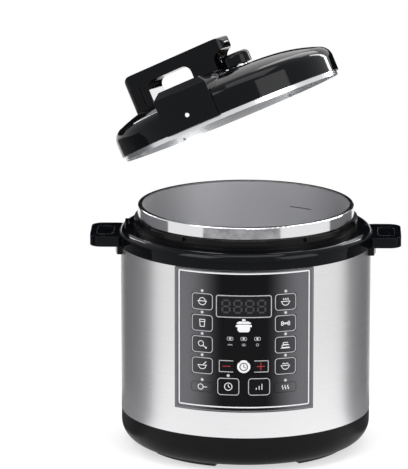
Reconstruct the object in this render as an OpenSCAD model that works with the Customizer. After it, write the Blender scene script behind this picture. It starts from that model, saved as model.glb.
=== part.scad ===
// Electric pressure cooker: steel body, black collar with two handles, inner pot,
// control panel with fourteen keys, and a bayonet lid that is lifted and tipped open.
// The panel faces -Y, the handles point along X, and the origin is on the cooker's
// axis at the level of the feet. Lid pieces are drawn closed and unlocked, and then
// swung to where the lid is held open.

/* [Inner pot] */
// Radius of the inner pot's bore
bore_r = 112; // [90:1:140]
// Inside depth of the inner pot
pot_depth = 157; // [120:1:200]
// Wall of the inner pot
pot_wall = 1.2; // [0.8:0.1:2]
// Thickness of the inner pot's layered base
pot_base_t = 3; // [2:0.5:6]
// How far the rolled rim stands out from the inner pot's wall
rim_out = 3.6; // [2.5:0.1:6]
// Height of the rim, turned down outside the inner pot's wall
rim_h = 12.5; // [6:0.5:13]

/* [Body] */
// Radial room between the inner pot and the outer pot
pot_gap = 2.3; // [1:0.1:5]
// Wall of the outer pot
tube_wall = 1.5; // [1:0.1:3]
// Radial room between the outer pot and the steel body's outside
body_gap = 18; // [16:0.5:30]
// Thickness of the steel body
steel_t = 0.8; // [0.5:0.1:1.5]
// Height of the base housing above the feet
base_h = 35; // [30:1:60]
// Wall of the base housing
base_wall = 2.6; // [2:0.1:4]
// Radius of the rounded lower edge of the base housing
base_round = 22; // [14:0.5:22]
// Height of the room for the electrics, from the base housing to the outer pot's floor
bay_h = 41; // [35:1:70]
// Height of the feet
foot_h = 4; // [3:0.5:10]
// Angle that one foot covers
foot_span = 42; // [20:1:60]
// Turn of the set of feet about the axis
foot_turn = 8; // [0:1:45]

/* [Collar] */
// How far the inner pot's rim stands above the collar's shoulder
rim_stand = 24.4; // [24:0.1:30]
// Height of the collar's shoulder above its lower edge
collar_h = 17.2; // [16:0.1:24]
// How far the collar stands out from the steel body
collar_out = 1.8; // [1:0.1:4]
// Radius of the collar's rounded shoulder
shoulder_r = 8; // [6:0.5:9]
// Width over both handles
handle_span = 335; // [300:1:420]
// Width of one handle, along the collar
handle_w = 68; // [50:1:90]
// Thickness of a handle at its end
handle_t = 11; // [8:0.5:18]
// Drop of a handle's top below the collar's shoulder
handle_drop = 5.7; // [5:0.1:8]
// Corner radius of a handle
handle_corner = 13; // [6:0.5:20]

/* [Bayonet] */
// Number of bayonet lugs
lug_count = 8; // [6:1:10]
// How far a lug stands out from the outer pot
lug_out = 3.4; // [3:0.1:6]
// Thickness of a lug
lug_t = 5; // [3:0.1:7]
// Share of the pitch that a lug covers
lug_share = 0.53; // [0.4:0.01:0.6]
// Share of the pitch that a tooth of the lid covers
tooth_share = 0.38; // [0.25:0.01:0.4]
// Thickness of a tooth of the lid
tooth_t = 2.6; // [2:0.1:4]
// Radial room between the lid's teeth and the outer pot
tooth_room = 1.6; // [1.4:0.1:3]
// Height from the collar's shoulder to the top of the lugs
lug_top = 10.5; // [10.2:0.1:11.2]

/* [Lid] */
// Height of the lid's black cover at its middle
cover_h = 42; // [41:0.5:60]
// Wall of the lid's cover
cover_wall = 2.3; // [1.8:0.1:4]
// Height of the cover's straight skirt
cover_side = 16.6; // [16:0.1:20]
// Radius of the cover's rounded edge
cover_round = 14; // [12:0.5:15]
// Slope of the cover's crowned top where it leaves the rounded edge
cover_slope = 22; // [18:0.5:26]
// How far the lid's steel rim shows below the cover
rim_show = 4.8; // [2:0.1:6]
// Width of the nose on the front of the lid
nose_w = 62; // [35:1:80]
// How far the nose stands out from the cover
nose_out = 5; // [3:0.5:8]
// How far the nose stands above the cover's edge
nose_up = 8; // [4:0.5:14]
// Turn of the nose from the lid's front, to the right
nose_turn = 6.5; // [-8:0.1:8]
// Height of the handle above the cover's edge
grip_h = 42.5; // [35:0.5:60]
// Width of the lid's handle
grip_w = 34; // [25:1:50]
// Reach of the handle to the left of the axis
grip_left = 100; // [90:1:104]
// Reach of the handle to the right of the axis
grip_right = 28; // [20:1:40]
// Thickness of the handle's bar
bar_t = 14; // [10:0.5:18]
// Radius of the exhaust valve's knob
knob_r = 15.5; // [12:0.5:22]
// Height of the exhaust valve's knob
knob_h = 13.5; // [12:0.5:24]
// Place of the exhaust valve to the right of the axis
valve_x = 31; // [25:0.5:50]

/* [Open lid] */
// How far the open lid hangs above its seat
open_lift = 114; // [60:1:200]
// How far the open lid hangs to the left of the axis
open_left = 16.7; // [0:0.1:40]
// Roll of the open lid, right side up
open_roll = 23; // [10:0.5:30]
// Pitch of the open lid, front side up
open_pitch = 12.7; // [5:0.1:25]

/* [Control panel] */
// Width of the panel, measured along its curve
panel_w = 155.2; // [140:0.1:170]
// Height of the panel
panel_h = 153.8; // [140:0.1:180]
// Thickness of the panel
panel_t = 2; // [1.5:0.1:3]
// Width of a key in the two columns
key_w = 23.8; // [18:0.1:26]
// Height of a key in the two columns
key_h = 18.4; // [12:0.1:20]
// Height of the lowest key in each column
low_key_h = 10.4; // [8:0.1:16]
// Distance between keys, up and down
key_pitch = 23.3; // [20:0.1:25]
// Distance of each column from the panel's middle, along its curve
column_x = 44.9; // [40:0.1:50]
// Travel of a key
key_travel = 0.5; // [0.3:0.1:1]

/* [Clearances] */
// Clearance between pieces that seat in each other
fit = 0.3; // [0.15:0.05:0.6]
// Clearance round a sliding key
key_gap = 0.35; // [0.2:0.05:0.6]
// Clearance between the lid's steel rim and the lugs
lid_gap = 1.5; // [0.4:0.1:2]
// Clearance of a screw in its thread
thread_gap = 0.05; // [0.02:0.01:0.1]

/* [Hidden] */

$fn = 96;
eps = 0.01;

// Levels, from the floor up
base_top = foot_h + base_h;
tube_floor_t = 2;
tube_bottom = base_top + bay_h;
tube_floor = tube_bottom + tube_floor_t;
plate_leg = 6;
plate_t = 16;
plate_bottom = tube_floor + plate_leg;
plate_top = plate_bottom + plate_t;
pot_bottom = plate_top;
rim_top = pot_bottom + pot_base_t + pot_depth;
shoulder_z = rim_top - rim_stand;
collar_z = shoulder_z - collar_h;
steel_hidden = 4;
steel_top = collar_z + steel_hidden;
lugs_z = shoulder_z + lug_top;

// Radii, from the pot out
pot_r = bore_r + pot_wall;
rim_r = pot_r + rim_out;
tube_in = pot_r + pot_gap;
tube_r = tube_in + tube_wall;
lug_r = tube_r + lug_out;
body_r = tube_r + body_gap;
body_in = body_r - steel_t;
collar_r = body_r + collar_out;
base_r = body_r - 0.2;

// Lid levels and radii, closed
flange_t = 1.5;
rim_in = lug_r + lid_gap;
lid_steel_t = 1;
lid_rim_r = rim_in + lid_steel_t;
cover_in = lid_rim_r + 0.4;
cover_r = cover_in + cover_wall;
steel_rim_z = shoulder_z + 2;
cover_z = steel_rim_z + rim_show;
hub_z = cover_z + cover_h;
cover_top = hub_z - 4;
tooth_in = tube_r + tooth_room;
seal_t = 7.8;
seal_z = rim_top + fit;
steel_top_z = seal_z + seal_t + fit;
lid_bend = 12;

// Swing of the lid about one axis, far to the back and left
swing = norm([open_pitch, open_roll]);
swing_axis = [-open_pitch, -open_roll, 0] / swing;
seat = [0, 0, cover_z];
open_back = open_left * open_pitch / open_roll;
held = seat + [-open_left, open_back, open_lift];
pivot = (seat + held) / 2 + cross(swing_axis, held - seat) / (2 * tan(swing / 2));
unlock = -180 / lug_count;

module held_open() {
  translate(pivot) rotate(swing, swing_axis) translate(-pivot) children();
}
module lid_place() { held_open() rotate([0, 0, unlock]) children(); }

// Flat shapes
module round_rect(w, h, r) {
  square([w - 2 * r, h], center = true);
  square([w, h - 2 * r], center = true);
  for (x = [-1, 1], y = [-1, 1])
    translate([x * (w / 2 - r), y * (h / 2 - r)]) circle(r, $fn = 32);
}
module tube(r, r_in, z0, z1) {
  difference() {
    translate([0, 0, z0]) cylinder(z1 - z0, r = r);
    translate([0, 0, z0 - 1]) cylinder(z1 - z0 + 2, r = r_in);
  }
}
// A wedge of an upright ring, from angle a0 to a1, where 0 is the front and
// positive goes to the right
module sector(r, r_in, z0, z1, a0, a1) {
  rotate([0, 0, a0 - 90]) translate([0, 0, z0])
    rotate_extrude(angle = a1 - a0) translate([r_in, 0]) square([r - r_in, z1 - z0]);
}
module around(count, r, from = 0) {
  for (i = [0 : count - 1]) rotate([0, 0, from + i * 360 / count]) translate([r, 0, 0]) children();
}
module pin(r, z0, z1, x = 0, y = 0) { translate([x, y, z0]) cylinder(z1 - z0, r = r, $fn = 48); }
module block(lo, hi) { translate(lo) cube(hi - lo); }
// A tapped screw standing head down at z, with its shank up
module screw(z, length, r, head_r, head_t) {
  difference() {
    union() {
      pin(r, z, z + length);
      pin(head_r, z - head_t, z);
    }
    translate([0, 0, z - head_t - eps]) for (a = [0, 90])
      rotate([0, 0, a]) translate([-head_r * 0.6, -0.45, 0]) cube([head_r * 1.2, 0.9, head_t * 0.55]);
  }
}

// ---- Base, shell and collar ----
post_r = 5;
post_at = tube_r - 14;
base_screw_r = 1.9;
base_head_r = 3.6;
floor_top = foot_h + base_wall;
inlet_w = 29;
inlet_h = 21;
inlet_z = foot_h + 21;
inlet_y = base_r - 3.2;
inlet_face = inlet_y + 2;
inlet_depth = 24;
inlet_tab = 7.5;

module base_profile(r, z0, z1, round) {
  square_r = r - round;
  translate([0, z0]) square([square_r, z1 - z0]);
  translate([0, z0 + round]) square([r, z1 - z0 - round]);
  intersection() {
    translate([square_r, z0 + round]) circle(round, $fn = 64);
    translate([square_r - eps, z0]) square([round + eps, round + eps]);
  }
}
module base_housing() color("#242325") {
  difference() {
    union() {
      rotate_extrude() base_profile(base_r, foot_h, base_top, base_round);
      tube(body_in - fit, body_in - fit - base_wall, base_top - base_wall, base_top + 6);
    }
    rotate_extrude() base_profile(base_r - base_wall, floor_top, base_top, base_round - base_wall);
    translate([0, 0, base_top - base_wall]) cylinder(2 * base_wall + 6, r = body_in - fit - base_wall);
    around(4, post_at, 45) pin(base_screw_r + fit, 0, floor_top + 1);
    for (ring = [0 : 3]) around(10 + 4 * ring, 24 + 14 * ring, 9 * ring)
      translate([-1.3, -5, 0]) cube([2.6, 10, floor_top + 1]);
    translate([0, inlet_y, inlet_z]) cube([inlet_w + 2 * fit, 16, inlet_h + 2 * fit], center = true);
  }
}
module feet() color("#1b1b1c") {
  difference() {
    for (i = [0 : 3])
      sector(base_r - base_round - 1, base_r - base_round - 14, 0, foot_h,
        i * 90 + 45 + foot_turn - foot_span / 2, i * 90 + 45 + foot_turn + foot_span / 2);
    around(4, post_at, 45) pin(base_head_r + 1, -1, foot_h + 1);
  }
}
panel_in = body_r + 0.2;
panel_out = panel_in + panel_t;
function arc(w) = w / panel_out * 180 / PI;
panel_top = collar_z - 0.7;
panel_low = panel_top - panel_h;
window_edge = 6;
module steel_body() color("#b9babc") {
  difference() {
    tube(body_r, body_in, base_top, steel_top);
    sector(body_r + 2, body_in - 2, panel_low + window_edge, panel_top - window_edge,
      -arc(panel_w / 2 - window_edge), arc(panel_w / 2 - window_edge));
  }
}
handle_top = shoulder_z - handle_drop;
cup_w = 56;
cup_d = 20;
cup_h = 44;
cup_wall = 1.6;
cup_y = collar_r + 0.8;
rib_out = 2.2;
rib_t = 2;
cup_top = collar_z - 0.6;
rib_z = cup_top - 7;
rail_w = 2.4;
module handle_plan(inset = 0) {
  reach = handle_span / 2 - inset;
  start = body_r - 8;
  translate([(reach + start) / 2, 0]) round_rect(reach - start, handle_w - 2 * inset, handle_corner - inset);
}
module collar_half_handle() {
  pocket_l = 18;
  pocket_w = 40;
  gusset = 6;
  difference() {
    union() {
      translate([0, 0, handle_top - handle_t]) linear_extrude(handle_t) handle_plan();
      // gusset under the handle, against the steel body
      intersection() {
        block([body_r - 9, -handle_w / 2 + 5, collar_z - 9], [body_r + 9, handle_w / 2 - 5, handle_top - 2]);
        tube(body_r + gusset, body_r + fit, collar_z - 9, handle_top);
      }
    }
    difference() {
      translate([0, 0, handle_top - handle_t - 1]) linear_extrude(handle_t - 2.5) handle_plan(2.4);
      cylinder(rim_top, r = body_r + gusset + 2);
    }
    translate([handle_span / 2 - pocket_l / 2 - 7, 0, handle_top - 1.2])
      linear_extrude(3) round_rect(pocket_l, pocket_w, 6);
    cylinder(rim_top, r = body_r + fit);
  }
}
module collar_profile() {
  inner = tube_r + fit;
  skin = 3;
  lip = 10;
  bend_r = collar_r - shoulder_r;
  bend_z = shoulder_z - shoulder_r;
  difference() {
    union() {
      translate([inner, collar_z]) square([bend_r - inner, collar_h]);
      translate([inner, collar_z]) square([collar_r - inner, bend_z - collar_z]);
      translate([bend_r, bend_z]) circle(shoulder_r, $fn = 64);
    }
    // bore round the outer pot
    translate([inner - shoulder_r, collar_z - 1]) square([shoulder_r, collar_h + 2]);
    // hollow under the shoulder, with a lip down along the outer pot
    translate([inner - 1, collar_z - 1]) square([skin + 1, collar_h + 1 - lip]);
    translate([inner + skin, collar_z - 1]) square([bend_r - inner - skin, collar_h + 1 - skin]);
    translate([inner + skin, collar_z - 1]) square([body_in - 1 - inner - skin, bend_z - collar_z + 1]);
    translate([bend_r, bend_z]) circle(shoulder_r - skin, $fn = 64);
    // step that the steel body stands in
    translate([inner + skin, collar_z - 1]) square([body_r + fit - inner - skin, steel_hidden + 1]);
  }
}
module cup_rails() {
  in_x = cup_w / 2 + fit;
  for (side = [0, 1]) mirror([side, 0, 0]) {
    block([in_x + rib_out, body_r - 6, rib_z - 3], [in_x + rib_out + rail_w, cup_y + cup_d - 2, collar_z + eps]);
    block([in_x, cup_y, rib_z - 3], [in_x + rib_out + rail_w, cup_y + cup_d - 2, rib_z - fit]);
  }
  block([-in_x - rib_out - rail_w, body_r - 6, collar_z],
    [in_x + rib_out + rail_w, cup_y + cup_d + 1, collar_z + 5]);
}
module collar() color("#141416") {
  difference() {
    union() {
      rotate_extrude() collar_profile();
      collar_half_handle();
      mirror([1, 0, 0]) collar_half_handle();
      difference() {
        cup_rails();
        cylinder(rim_top, r = body_r + fit);
      }
      // lid stop block on the left of the shoulder
      sector(cover_r + 5, cover_r + 0.9, shoulder_z - 4, shoulder_z + 5, -94, -83);
    }
    // drip hole over the condensate cup
    pin(3, collar_z - 1, collar_z + 8, 0, cup_y + cup_d / 2);
  }
}
module handle_covers() color("#1b1b1d") {
  for (side = [0, 1]) mirror([side, 0, 0]) difference() {
    union() {
      translate([0, 0, handle_top - handle_t]) linear_extrude(1.8) handle_plan(2.4 + fit);
      for (y = [-16, 16]) pin(2.5, handle_top - handle_t, handle_top - 3.5 - fit, handle_span / 2 - 14, y);
    }
    cylinder(rim_top, r = body_r + 8 + fit);
  }
}

// ---- Pots and heating ----
module outer_pot() color("#2e2e31") {
  union() {
    difference() {
      tube(tube_r, tube_in, tube_bottom, lugs_z);
      // key slots that stop the flange from turning in the collar
      around(3, tube_r, 30) translate([0, 0, tube_bottom + 14]) cube([6, 8, 5], center = true);
    }
    difference() {
      translate([0, 0, tube_bottom]) cylinder(tube_floor_t, r = tube_in + eps);
      translate([0, 0, tube_bottom - 1]) cylinder(tube_floor_t + 2, r = 30);
      around(4, post_at, 45) pin(2.2, tube_bottom - 1, tube_floor + 1);
      around(2, element_r, lead_turn) pin(5, tube_bottom - 1, tube_floor + 1);
      around(12, 52, 0) pin(5, tube_bottom - 1, tube_floor + 1);
    }
    tube(lug_r, tube_r - eps, shoulder_z, shoulder_z + flange_t);
    for (i = [0 : lug_count - 1])
      sector(lug_r, tube_r - eps, lugs_z - lug_t, lugs_z,
        i * 360 / lug_count - 180 / lug_count * lug_share,
        i * 360 / lug_count + 180 / lug_count * lug_share);
  }
}
module inner_pot() color("#c9cacc") {
  corner = 9;
  bead = 1.3;
  rim_t = 2.2;
  rotate_extrude() difference() {
    union() {
      translate([0, pot_bottom]) square([pot_r - corner, corner]);
      translate([0, pot_bottom + corner]) square([pot_r, rim_top - pot_bottom - corner]);
      translate([pot_r - corner, pot_bottom + corner]) circle(corner, $fn = 64);
      translate([pot_r - 1, rim_top - rim_t]) square([rim_out + 1 - bead, rim_t]);
      translate([rim_r - bead, rim_top - bead]) circle(bead, $fn = 32);
      translate([rim_r - pot_wall, rim_top - rim_h]) square([pot_wall, rim_h - bead]);
    }
    translate([0, pot_bottom + pot_base_t + corner]) square([bore_r, pot_depth]);
    translate([0, pot_bottom + pot_base_t]) square([bore_r - corner, corner + 1]);
    intersection() {
      translate([bore_r - corner, pot_bottom + pot_base_t + corner]) circle(corner, $fn = 64);
      translate([bore_r - corner - eps, pot_bottom + pot_base_t]) square(corner + 1);
    }
  }
}
sensor_r = 20;
element_r = 68;
element_tube = 4;
lead_turn = 82;
plate_r = pot_r - 15;
module heating_plate() color("#9c9ea1") {
  difference() {
    union() {
      translate([0, 0, plate_top - 9]) cylinder(9, r = plate_r);
      tube(element_r + 9, element_r - 9, plate_bottom, plate_top - 8);
      tube(sensor_r + 7, sensor_r + 1, plate_bottom, plate_top - 8);
      around(3, plate_r - 8, 30) pin(5, tube_floor, plate_top - 8);
    }
    translate([0, 0, plate_bottom - 1]) cylinder(plate_t + 2, r = sensor_r + 1);
    rotate_extrude() translate([element_r, plate_bottom]) circle(element_tube + 0.15, $fn = 48);
  }
}
module heating_element() color("#77787c") {
  rotate_extrude() translate([element_r, plate_bottom]) circle(element_tube, $fn = 48);
  around(2, element_r, lead_turn) pin(3, tube_bottom - 12, plate_bottom);
  around(2, element_r, lead_turn) translate([-0.4, -3, tube_bottom - 20]) cube([0.8, 6, 9]);
}
sensor_top = plate_top - 0.3;
sensor_h = 9;
sensor_skin = 2.5;
cup_floor = tube_bottom - 3;
spring_r = 7;
spring_wire = 0.7;
spring_turns = 4;
module temperature_sensor() color("#b3b4b6") {
  difference() {
    union() {
      translate([0, 0, sensor_top - sensor_h]) cylinder(sensor_h, r = sensor_r - 0.6);
      pin(4, cup_floor + 6, sensor_top - sensor_h + 1);
    }
    translate([0, 0, sensor_top - sensor_h - 1]) difference() {
      cylinder(sensor_h - sensor_skin + 1, r = sensor_r - 2.2);
      translate([0, 0, -1]) cylinder(sensor_h + 2, r = 4);
    }
  }
}
spring_low = cup_floor + fit;
spring_high = sensor_top - sensor_skin - fit;
function coil_point(i, n) = let (a = i * 360 / 16, t = i / n)
  [spring_r * cos(a), spring_r * sin(a), spring_low + spring_wire
    + t * (spring_high - spring_low - 2 * spring_wire)];
function coil_ring(i, n) = let (a = i * 360 / 16, p = coil_point(i, n))
  [for (k = [0 : 5]) p + spring_wire * cos(k * 60) * [cos(a), sin(a), 0]
    + spring_wire * sin(k * 60) * [0, 0, 1]];
module sensor_spring() color("#a8a9ab") {
  n = spring_turns * 16;
  polyhedron(
    points = [for (i = [0 : n]) each coil_ring(i, n)],
    faces = concat([[for (k = [0 : 5]) k]], [[for (k = [5 : -1 : 0]) n * 6 + k]],
      [for (i = [0 : n - 1], k = [0 : 5])
        [i * 6 + k, (i + 1) * 6 + k, (i + 1) * 6 + (k + 1) % 6, i * 6 + (k + 1) % 6]]));
}
module sensor_bracket() color("#8e9093") {
  difference() {
    union() {
      translate([0, 0, cup_floor - 1.5]) cylinder(1.5, r = 34);
      tube(34, 32.5, cup_floor - 1.5, tube_bottom);
      tube(42, 32.5, tube_bottom - 1.5, tube_bottom);
    }
    pin(4.6, cup_floor - 3, cup_floor + 1);
    around(3, 20, 0) pin(4, cup_floor - 3, cup_floor + 1);
  }
}
module thermal_fuse() color("#d9d5c8") {
  translate([0, -54, tube_bottom - 4.3]) rotate([0, 90, 0]) translate([0, 0, -14]) cylinder(28, r = 3);
  block([-10, -57, tube_bottom - 1.3], [10, -51, tube_bottom]);
}
module pressure_switch() color("#3a3b3f") {
  difference() {
    block([40, -34, tube_bottom - 16], [58, -18, tube_bottom - 2]);
    translate([49, -26, tube_bottom - 6]) cylinder(5, r = 2.6, $fn = 32);
  }
  pin(2.2, tube_bottom - 6, tube_bottom, 49, -26);
}
module tie_posts() color("#a2a4a7") {
  around(4, post_at, 45) difference() {
    pin(post_r, floor_top, tube_bottom);
    pin(base_screw_r + thread_gap, floor_top - 1, floor_top + 14);
    pin(base_screw_r + thread_gap, tube_bottom - 14, tube_bottom + 1);
  }
}
module base_screws() color("#8d8f92") {
  around(4, post_at, 45) screw(foot_h, 12, base_screw_r, base_head_r, 2.2);
}
module post_screws() color("#8d8f92") {
  around(4, post_at, 45) translate([0, 0, tube_floor]) rotate([180, 0, 0])
    screw(0, 10, base_screw_r, base_head_r, 2.2);
}

// ---- Panel, keys and boards ----
key_corner = 2.2;
key_sunk = 0.25;
key_back = panel_in - 3;
flange_out = 1.1;
board_t = 1.6;
board_y = tube_r + 3;
board_bottom = panel_low + 6;
lead_y = -board_y + board_t + 3;
switch_h = 3;
stem_r = 1.6;
switch_front = board_y + switch_h;
side_keys = [for (row = [0 : 4]) panel_top - 34.3 - row * key_pitch];
middle_z = panel_top - 103.3;
low_z = panel_top - 125.6;
sign_x = 18.2;
sign_w = 16.8;
sign_h = 13.4;
low_x = 16.4;
low_h = 19.2;
display_w = 57;
display_h = 22;
display_z = panel_top - 38;
digit_pitch = 12.6;
digit_w = 7.2;
digit_h = 13;
lamp_r = 1.2;
lamp_over = 2.6;
// every key: place along the curve, height, width and height of its cap
keys = concat(
  [for (side = [-1, 1], row = [0 : 4])
    [side * column_x, side_keys[row], key_w, row == 4 ? low_key_h : key_h]],
  [[-sign_x, middle_z, sign_w, sign_h], [sign_x, middle_z, sign_w, sign_h],
   [-low_x, low_z, key_w, low_h], [low_x, low_z, key_w, low_h]]);
// lamps over the keys, and three in the middle
lamps = concat([for (side = [-1, 1], row = [0 : 4]) [side * column_x,
    side_keys[row] + (row == 4 ? low_key_h : key_h) / 2 + lamp_over]],
  [for (x = [-14.5, 0, 14.5]) [x, panel_top - 73]], [[-low_x, low_z + low_h / 2 + lamp_over]]);
board_w = 2 * (sqrt(pow(body_in - 1, 2) - pow(board_y, 2)) - 2);
board_screw_r = 1.2;
board_screw_x = column_x + 3;
board_screw_z = [panel_top - 15, panel_low + 11];

module key_prism(key, grow, from) {
  rotate([0, 0, arc(key[0])]) translate([0, -from, key[1]]) rotate([90, 0, 0])
    linear_extrude(20) round_rect(key[2] + 2 * grow, key[3] + 2 * grow, key_corner + grow);
}
module key_cap(i) color("#2a2a2e") {
  key = keys[i];
  a = arc(key[0]);
  stem_end = (switch_front + key_travel + 0.2) / cos(a) + stem_r * abs(tan(a));
  intersection() {
    key_prism(key, 0, key_back);
    cylinder(rim_top, r = panel_out - key_sunk, $fn = 180);
  }
  intersection() {
    key_prism(key, flange_out, key_back);
    cylinder(rim_top, r = panel_in - fit, $fn = 180);
  }
  rotate([0, 0, a]) translate([0, -key_back - eps, key[1]]) rotate([-90, 0, 0])
    cylinder(key_back - stem_end, r = stem_r, $fn = 32);
}
module control_panel() color("#222124") {
  difference() {
    union() {
      sector(panel_out, panel_in, panel_low, panel_top, -arc(panel_w / 2), arc(panel_w / 2));
      for (x = [-1, 1], z = board_screw_z) difference() {
        translate([x * board_screw_x, -board_y, z]) rotate([90, 0, 0]) cylinder(20, r = 3.2, $fn = 32);
        tube(body_r + 40, panel_in + eps, z - 10, z + 10);
      }
    }
    for (key = keys) key_prism(key, key_gap, key_back);
    for (lamp = lamps) rotate([0, 0, arc(lamp[0])]) translate([0, -panel_in + 2, lamp[1]])
      rotate([90, 0, 0]) cylinder(8, r = lamp_r + 0.05, $fn = 24);
    translate([0, -panel_in + 6, display_z]) rotate([90, 0, 0])
      linear_extrude(20) round_rect(display_w + 0.1, display_h + 0.1, 1.5);
    for (x = [-1, 1], z = board_screw_z)
      translate([x * board_screw_x, -board_y + 1, z]) rotate([90, 0, 0])
        cylinder(5.5, r = board_screw_r + thread_gap, $fn = 24);
  }
}
module display_window() color("#101214") {
  intersection() {
    translate([0, -panel_in + 6, display_z]) rotate([90, 0, 0])
      linear_extrude(20) round_rect(display_w, display_h, 1.45);
    tube(panel_out - 0.2, panel_in, panel_low, panel_top);
  }
}
module display_module() color("#2d2f33") {
  front = sqrt(pow(panel_in, 2) - pow(display_w / 2, 2)) - 1.2;
  difference() {
    block([-display_w / 2 + 1, -front, display_z - display_h / 2],
      [display_w / 2 - 1, -board_y, display_z + display_h / 2]);
    block([-display_w / 2 + 4, -front - 1, display_z - display_h / 2 + 3],
      [display_w / 2 - 4, -front + 0.8, display_z + display_h / 2 - 3]);
  }
  for (i = [-1.5, -0.5, 0.5, 1.5]) block([i * digit_pitch - digit_w / 2, -front + 0.1, display_z - digit_h / 2],
    [i * digit_pitch + digit_w / 2, -front + 1, display_z + digit_h / 2]);
}
module lamp_lenses() color("#8a8f94") {
  for (lamp = lamps) rotate([0, 0, arc(lamp[0])]) intersection() {
    translate([0, -panel_in + 3, lamp[1]]) rotate([90, 0, 0]) cylinder(8, r = lamp_r, $fn = 24);
    cylinder(rim_top, r = panel_out - 0.1, $fn = 180);
  }
}
module control_board() color("#2f6b3f") {
  difference() {
    block([-board_w / 2, -board_y, board_bottom], [board_w / 2, -board_y + board_t, panel_top - 9]);
    for (x = [-1, 1], z = board_screw_z)
      translate([x * board_screw_x, -board_y - 1, z]) rotate([-90, 0, 0]) cylinder(4, r = 1.7, $fn = 24);
  }
  // connector for the leads, below the outer pot
  block([-20, -board_y + board_t, board_bottom + 1], [20, lead_y, board_bottom + 5.4]);
}
module tact_switches() color("#1e1f22") {
  for (key = keys) {
    x = switch_front * tan(arc(key[0]));
    block([x - 3, -board_y - 2.4, key[1] - 3], [x + 3, -board_y, key[1] + 3]);
    translate([x, -board_y - 2.4 + eps, key[1]]) rotate([90, 0, 0]) cylinder(switch_h - 2.4, r = 1.7, $fn = 32);
  }
}
module board_screws() color("#8d8f92") {
  for (x = [-1, 1], z = board_screw_z)
    translate([x * board_screw_x, -board_y + board_t, z]) rotate([90, 0, 0])
      screw(0, 5.5, board_screw_r, 2.8, 1.6);
}
board_low = floor_top + 12;
power_hole_x = [-68, -12];
power_hole_y = [10, 62];
module power_board() color("#2f6b3f") {
  difference() {
    block([-72, 6, board_low], [-8, 66, board_low + board_t]);
    for (x = power_hole_x, y = power_hole_y) pin(1.7, board_low - 1, board_low + 3, x, y);
  }
  for (x = power_hole_x, y = power_hole_y) difference() {
    pin(3.5, floor_top, board_low, x, y);
    pin(1.2, floor_top + 2, board_low + 1, x, y);
  }
}
module power_parts() color("#3d6ea8") {
  top = board_low + board_t;
  block([-66, 14, top], [-47, 30, top + 15]);
  block([-42, 12, top], [-16, 34, top + 20]);
  pin(5, top, top + 19, -60, 46);
  pin(4, top, top + 14, -47, 46);
  block([-36, 44, top], [-14, 52, top + 12]);
  block([-36, 55, top], [-30, 63, top + 9]);
}
// The three pins of the inlet: place to the side, and row over or under its middle
inlet_pins = [[0, 1], [-7, -1], [7, -1]];
module power_inlet() color("#121213") {
  difference() {
    union() {
      translate([0, inlet_face - inlet_depth / 2, inlet_z]) cube([inlet_w, inlet_depth, inlet_h], center = true);
      translate([0, inlet_face - 10, inlet_z]) cube([inlet_w + 12, 2, inlet_h + 4], center = true);
    }
    translate([0, inlet_face + 1, inlet_z]) rotate([90, 0, 0]) linear_extrude(18) round_rect(24, 16.5, 3);
  }
  for (p = inlet_pins) {
    translate([p[0], inlet_face - 12, inlet_z + 2.2 * p[1]]) cube([2, 14, 4], center = true);
    translate([p[0], inlet_face - inlet_depth + 0.25 - inlet_tab / 2, inlet_z + 4 * p[1]])
      cube([5, inlet_tab, 0.8], center = true);
  }
}
wire_r = 1.3;
function unit(v) = v / norm(v);
function smooth(p, t) = let (n = len(p) - 1, i = min(floor(t * n), n - 1), f = t * n - i,
    a = p[max(i - 1, 0)], b = p[i], c = p[i + 1], d = p[min(i + 2, n)])
  0.5 * (2 * b + (c - a) * f + (2 * a - 5 * b + 4 * c - d) * f * f + (3 * b - a - 3 * c + d) * f * f * f);
module wire(route) {
  steps = 6 * (len(route) - 1);
  points = [for (i = [0 : steps]) smooth(route, i / steps)];
  rings = [for (i = [0 : steps]) let (t = unit(points[min(i + 1, steps)] - points[max(i - 1, 0)]),
      u = unit(cross(t, abs(t[2]) > 0.8 ? [1, 0, 0] : [0, 0, 1])), v = cross(t, u))
    [for (k = [0 : 7]) points[i] + wire_r * (cos(k * 45) * u + sin(k * 45) * v)]];
  polyhedron(points = [for (r = rings) each r],
    faces = concat([[for (k = [0 : 7]) k]], [[for (k = [7 : -1 : 0]) steps * 8 + k]],
      [for (i = [0 : steps - 1], k = [0 : 7])
        [i * 8 + k, (i + 1) * 8 + k, (i + 1) * 8 + (k + 1) % 8, i * 8 + (k + 1) % 8]]));
}
module wiring() color("#a33a2e") {
  tab = inlet_face - inlet_depth - inlet_tab - 1;
  top = board_low + board_t;
  // inlet to the power board
  wire([[-7, tab, inlet_z - 4], [-8, tab - 12, inlet_z - 2], [-20, 74, top + 2],
    [-25, 66, top + 3], [-25, 62, top + 1.5]]);
  // power board to the heating element
  wire([[-20, 58, top + 1.5], [-14, 62, top + 12], [-4, 66, tube_bottom - 30],
    [8, 66, tube_bottom - 26], [9.4, 67.3, tube_bottom - 21.5]]);
  // power board to the control board
  wire([[-40, 8, top + 1.5], [-34, -10, top + 8], [-26, -60, top + 14], [-12, -96, top + 24],
    [-4, lead_y + 6, board_bottom - 2], [0, lead_y + wire_r, board_bottom + 3]]);
}
module condensate_cup() color("#d5d9dc") {
  x = cup_w / 2;
  difference() {
    union() {
      block([-x, cup_y, cup_top - cup_h], [x, cup_y + cup_d, cup_top]);
      block([-x - rib_out + fit, cup_y, rib_z], [x + rib_out - fit, cup_y + cup_d, rib_z + rib_t]);
      block([-11, cup_y + cup_d - 1, rib_z - 26], [11, cup_y + cup_d + 3, rib_z - 23]);
    }
    block([-x + cup_wall, cup_y + cup_wall, cup_top - cup_h + cup_wall],
      [x - cup_wall, cup_y + cup_d - cup_wall, cup_top + 1]);
  }
}

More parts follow.
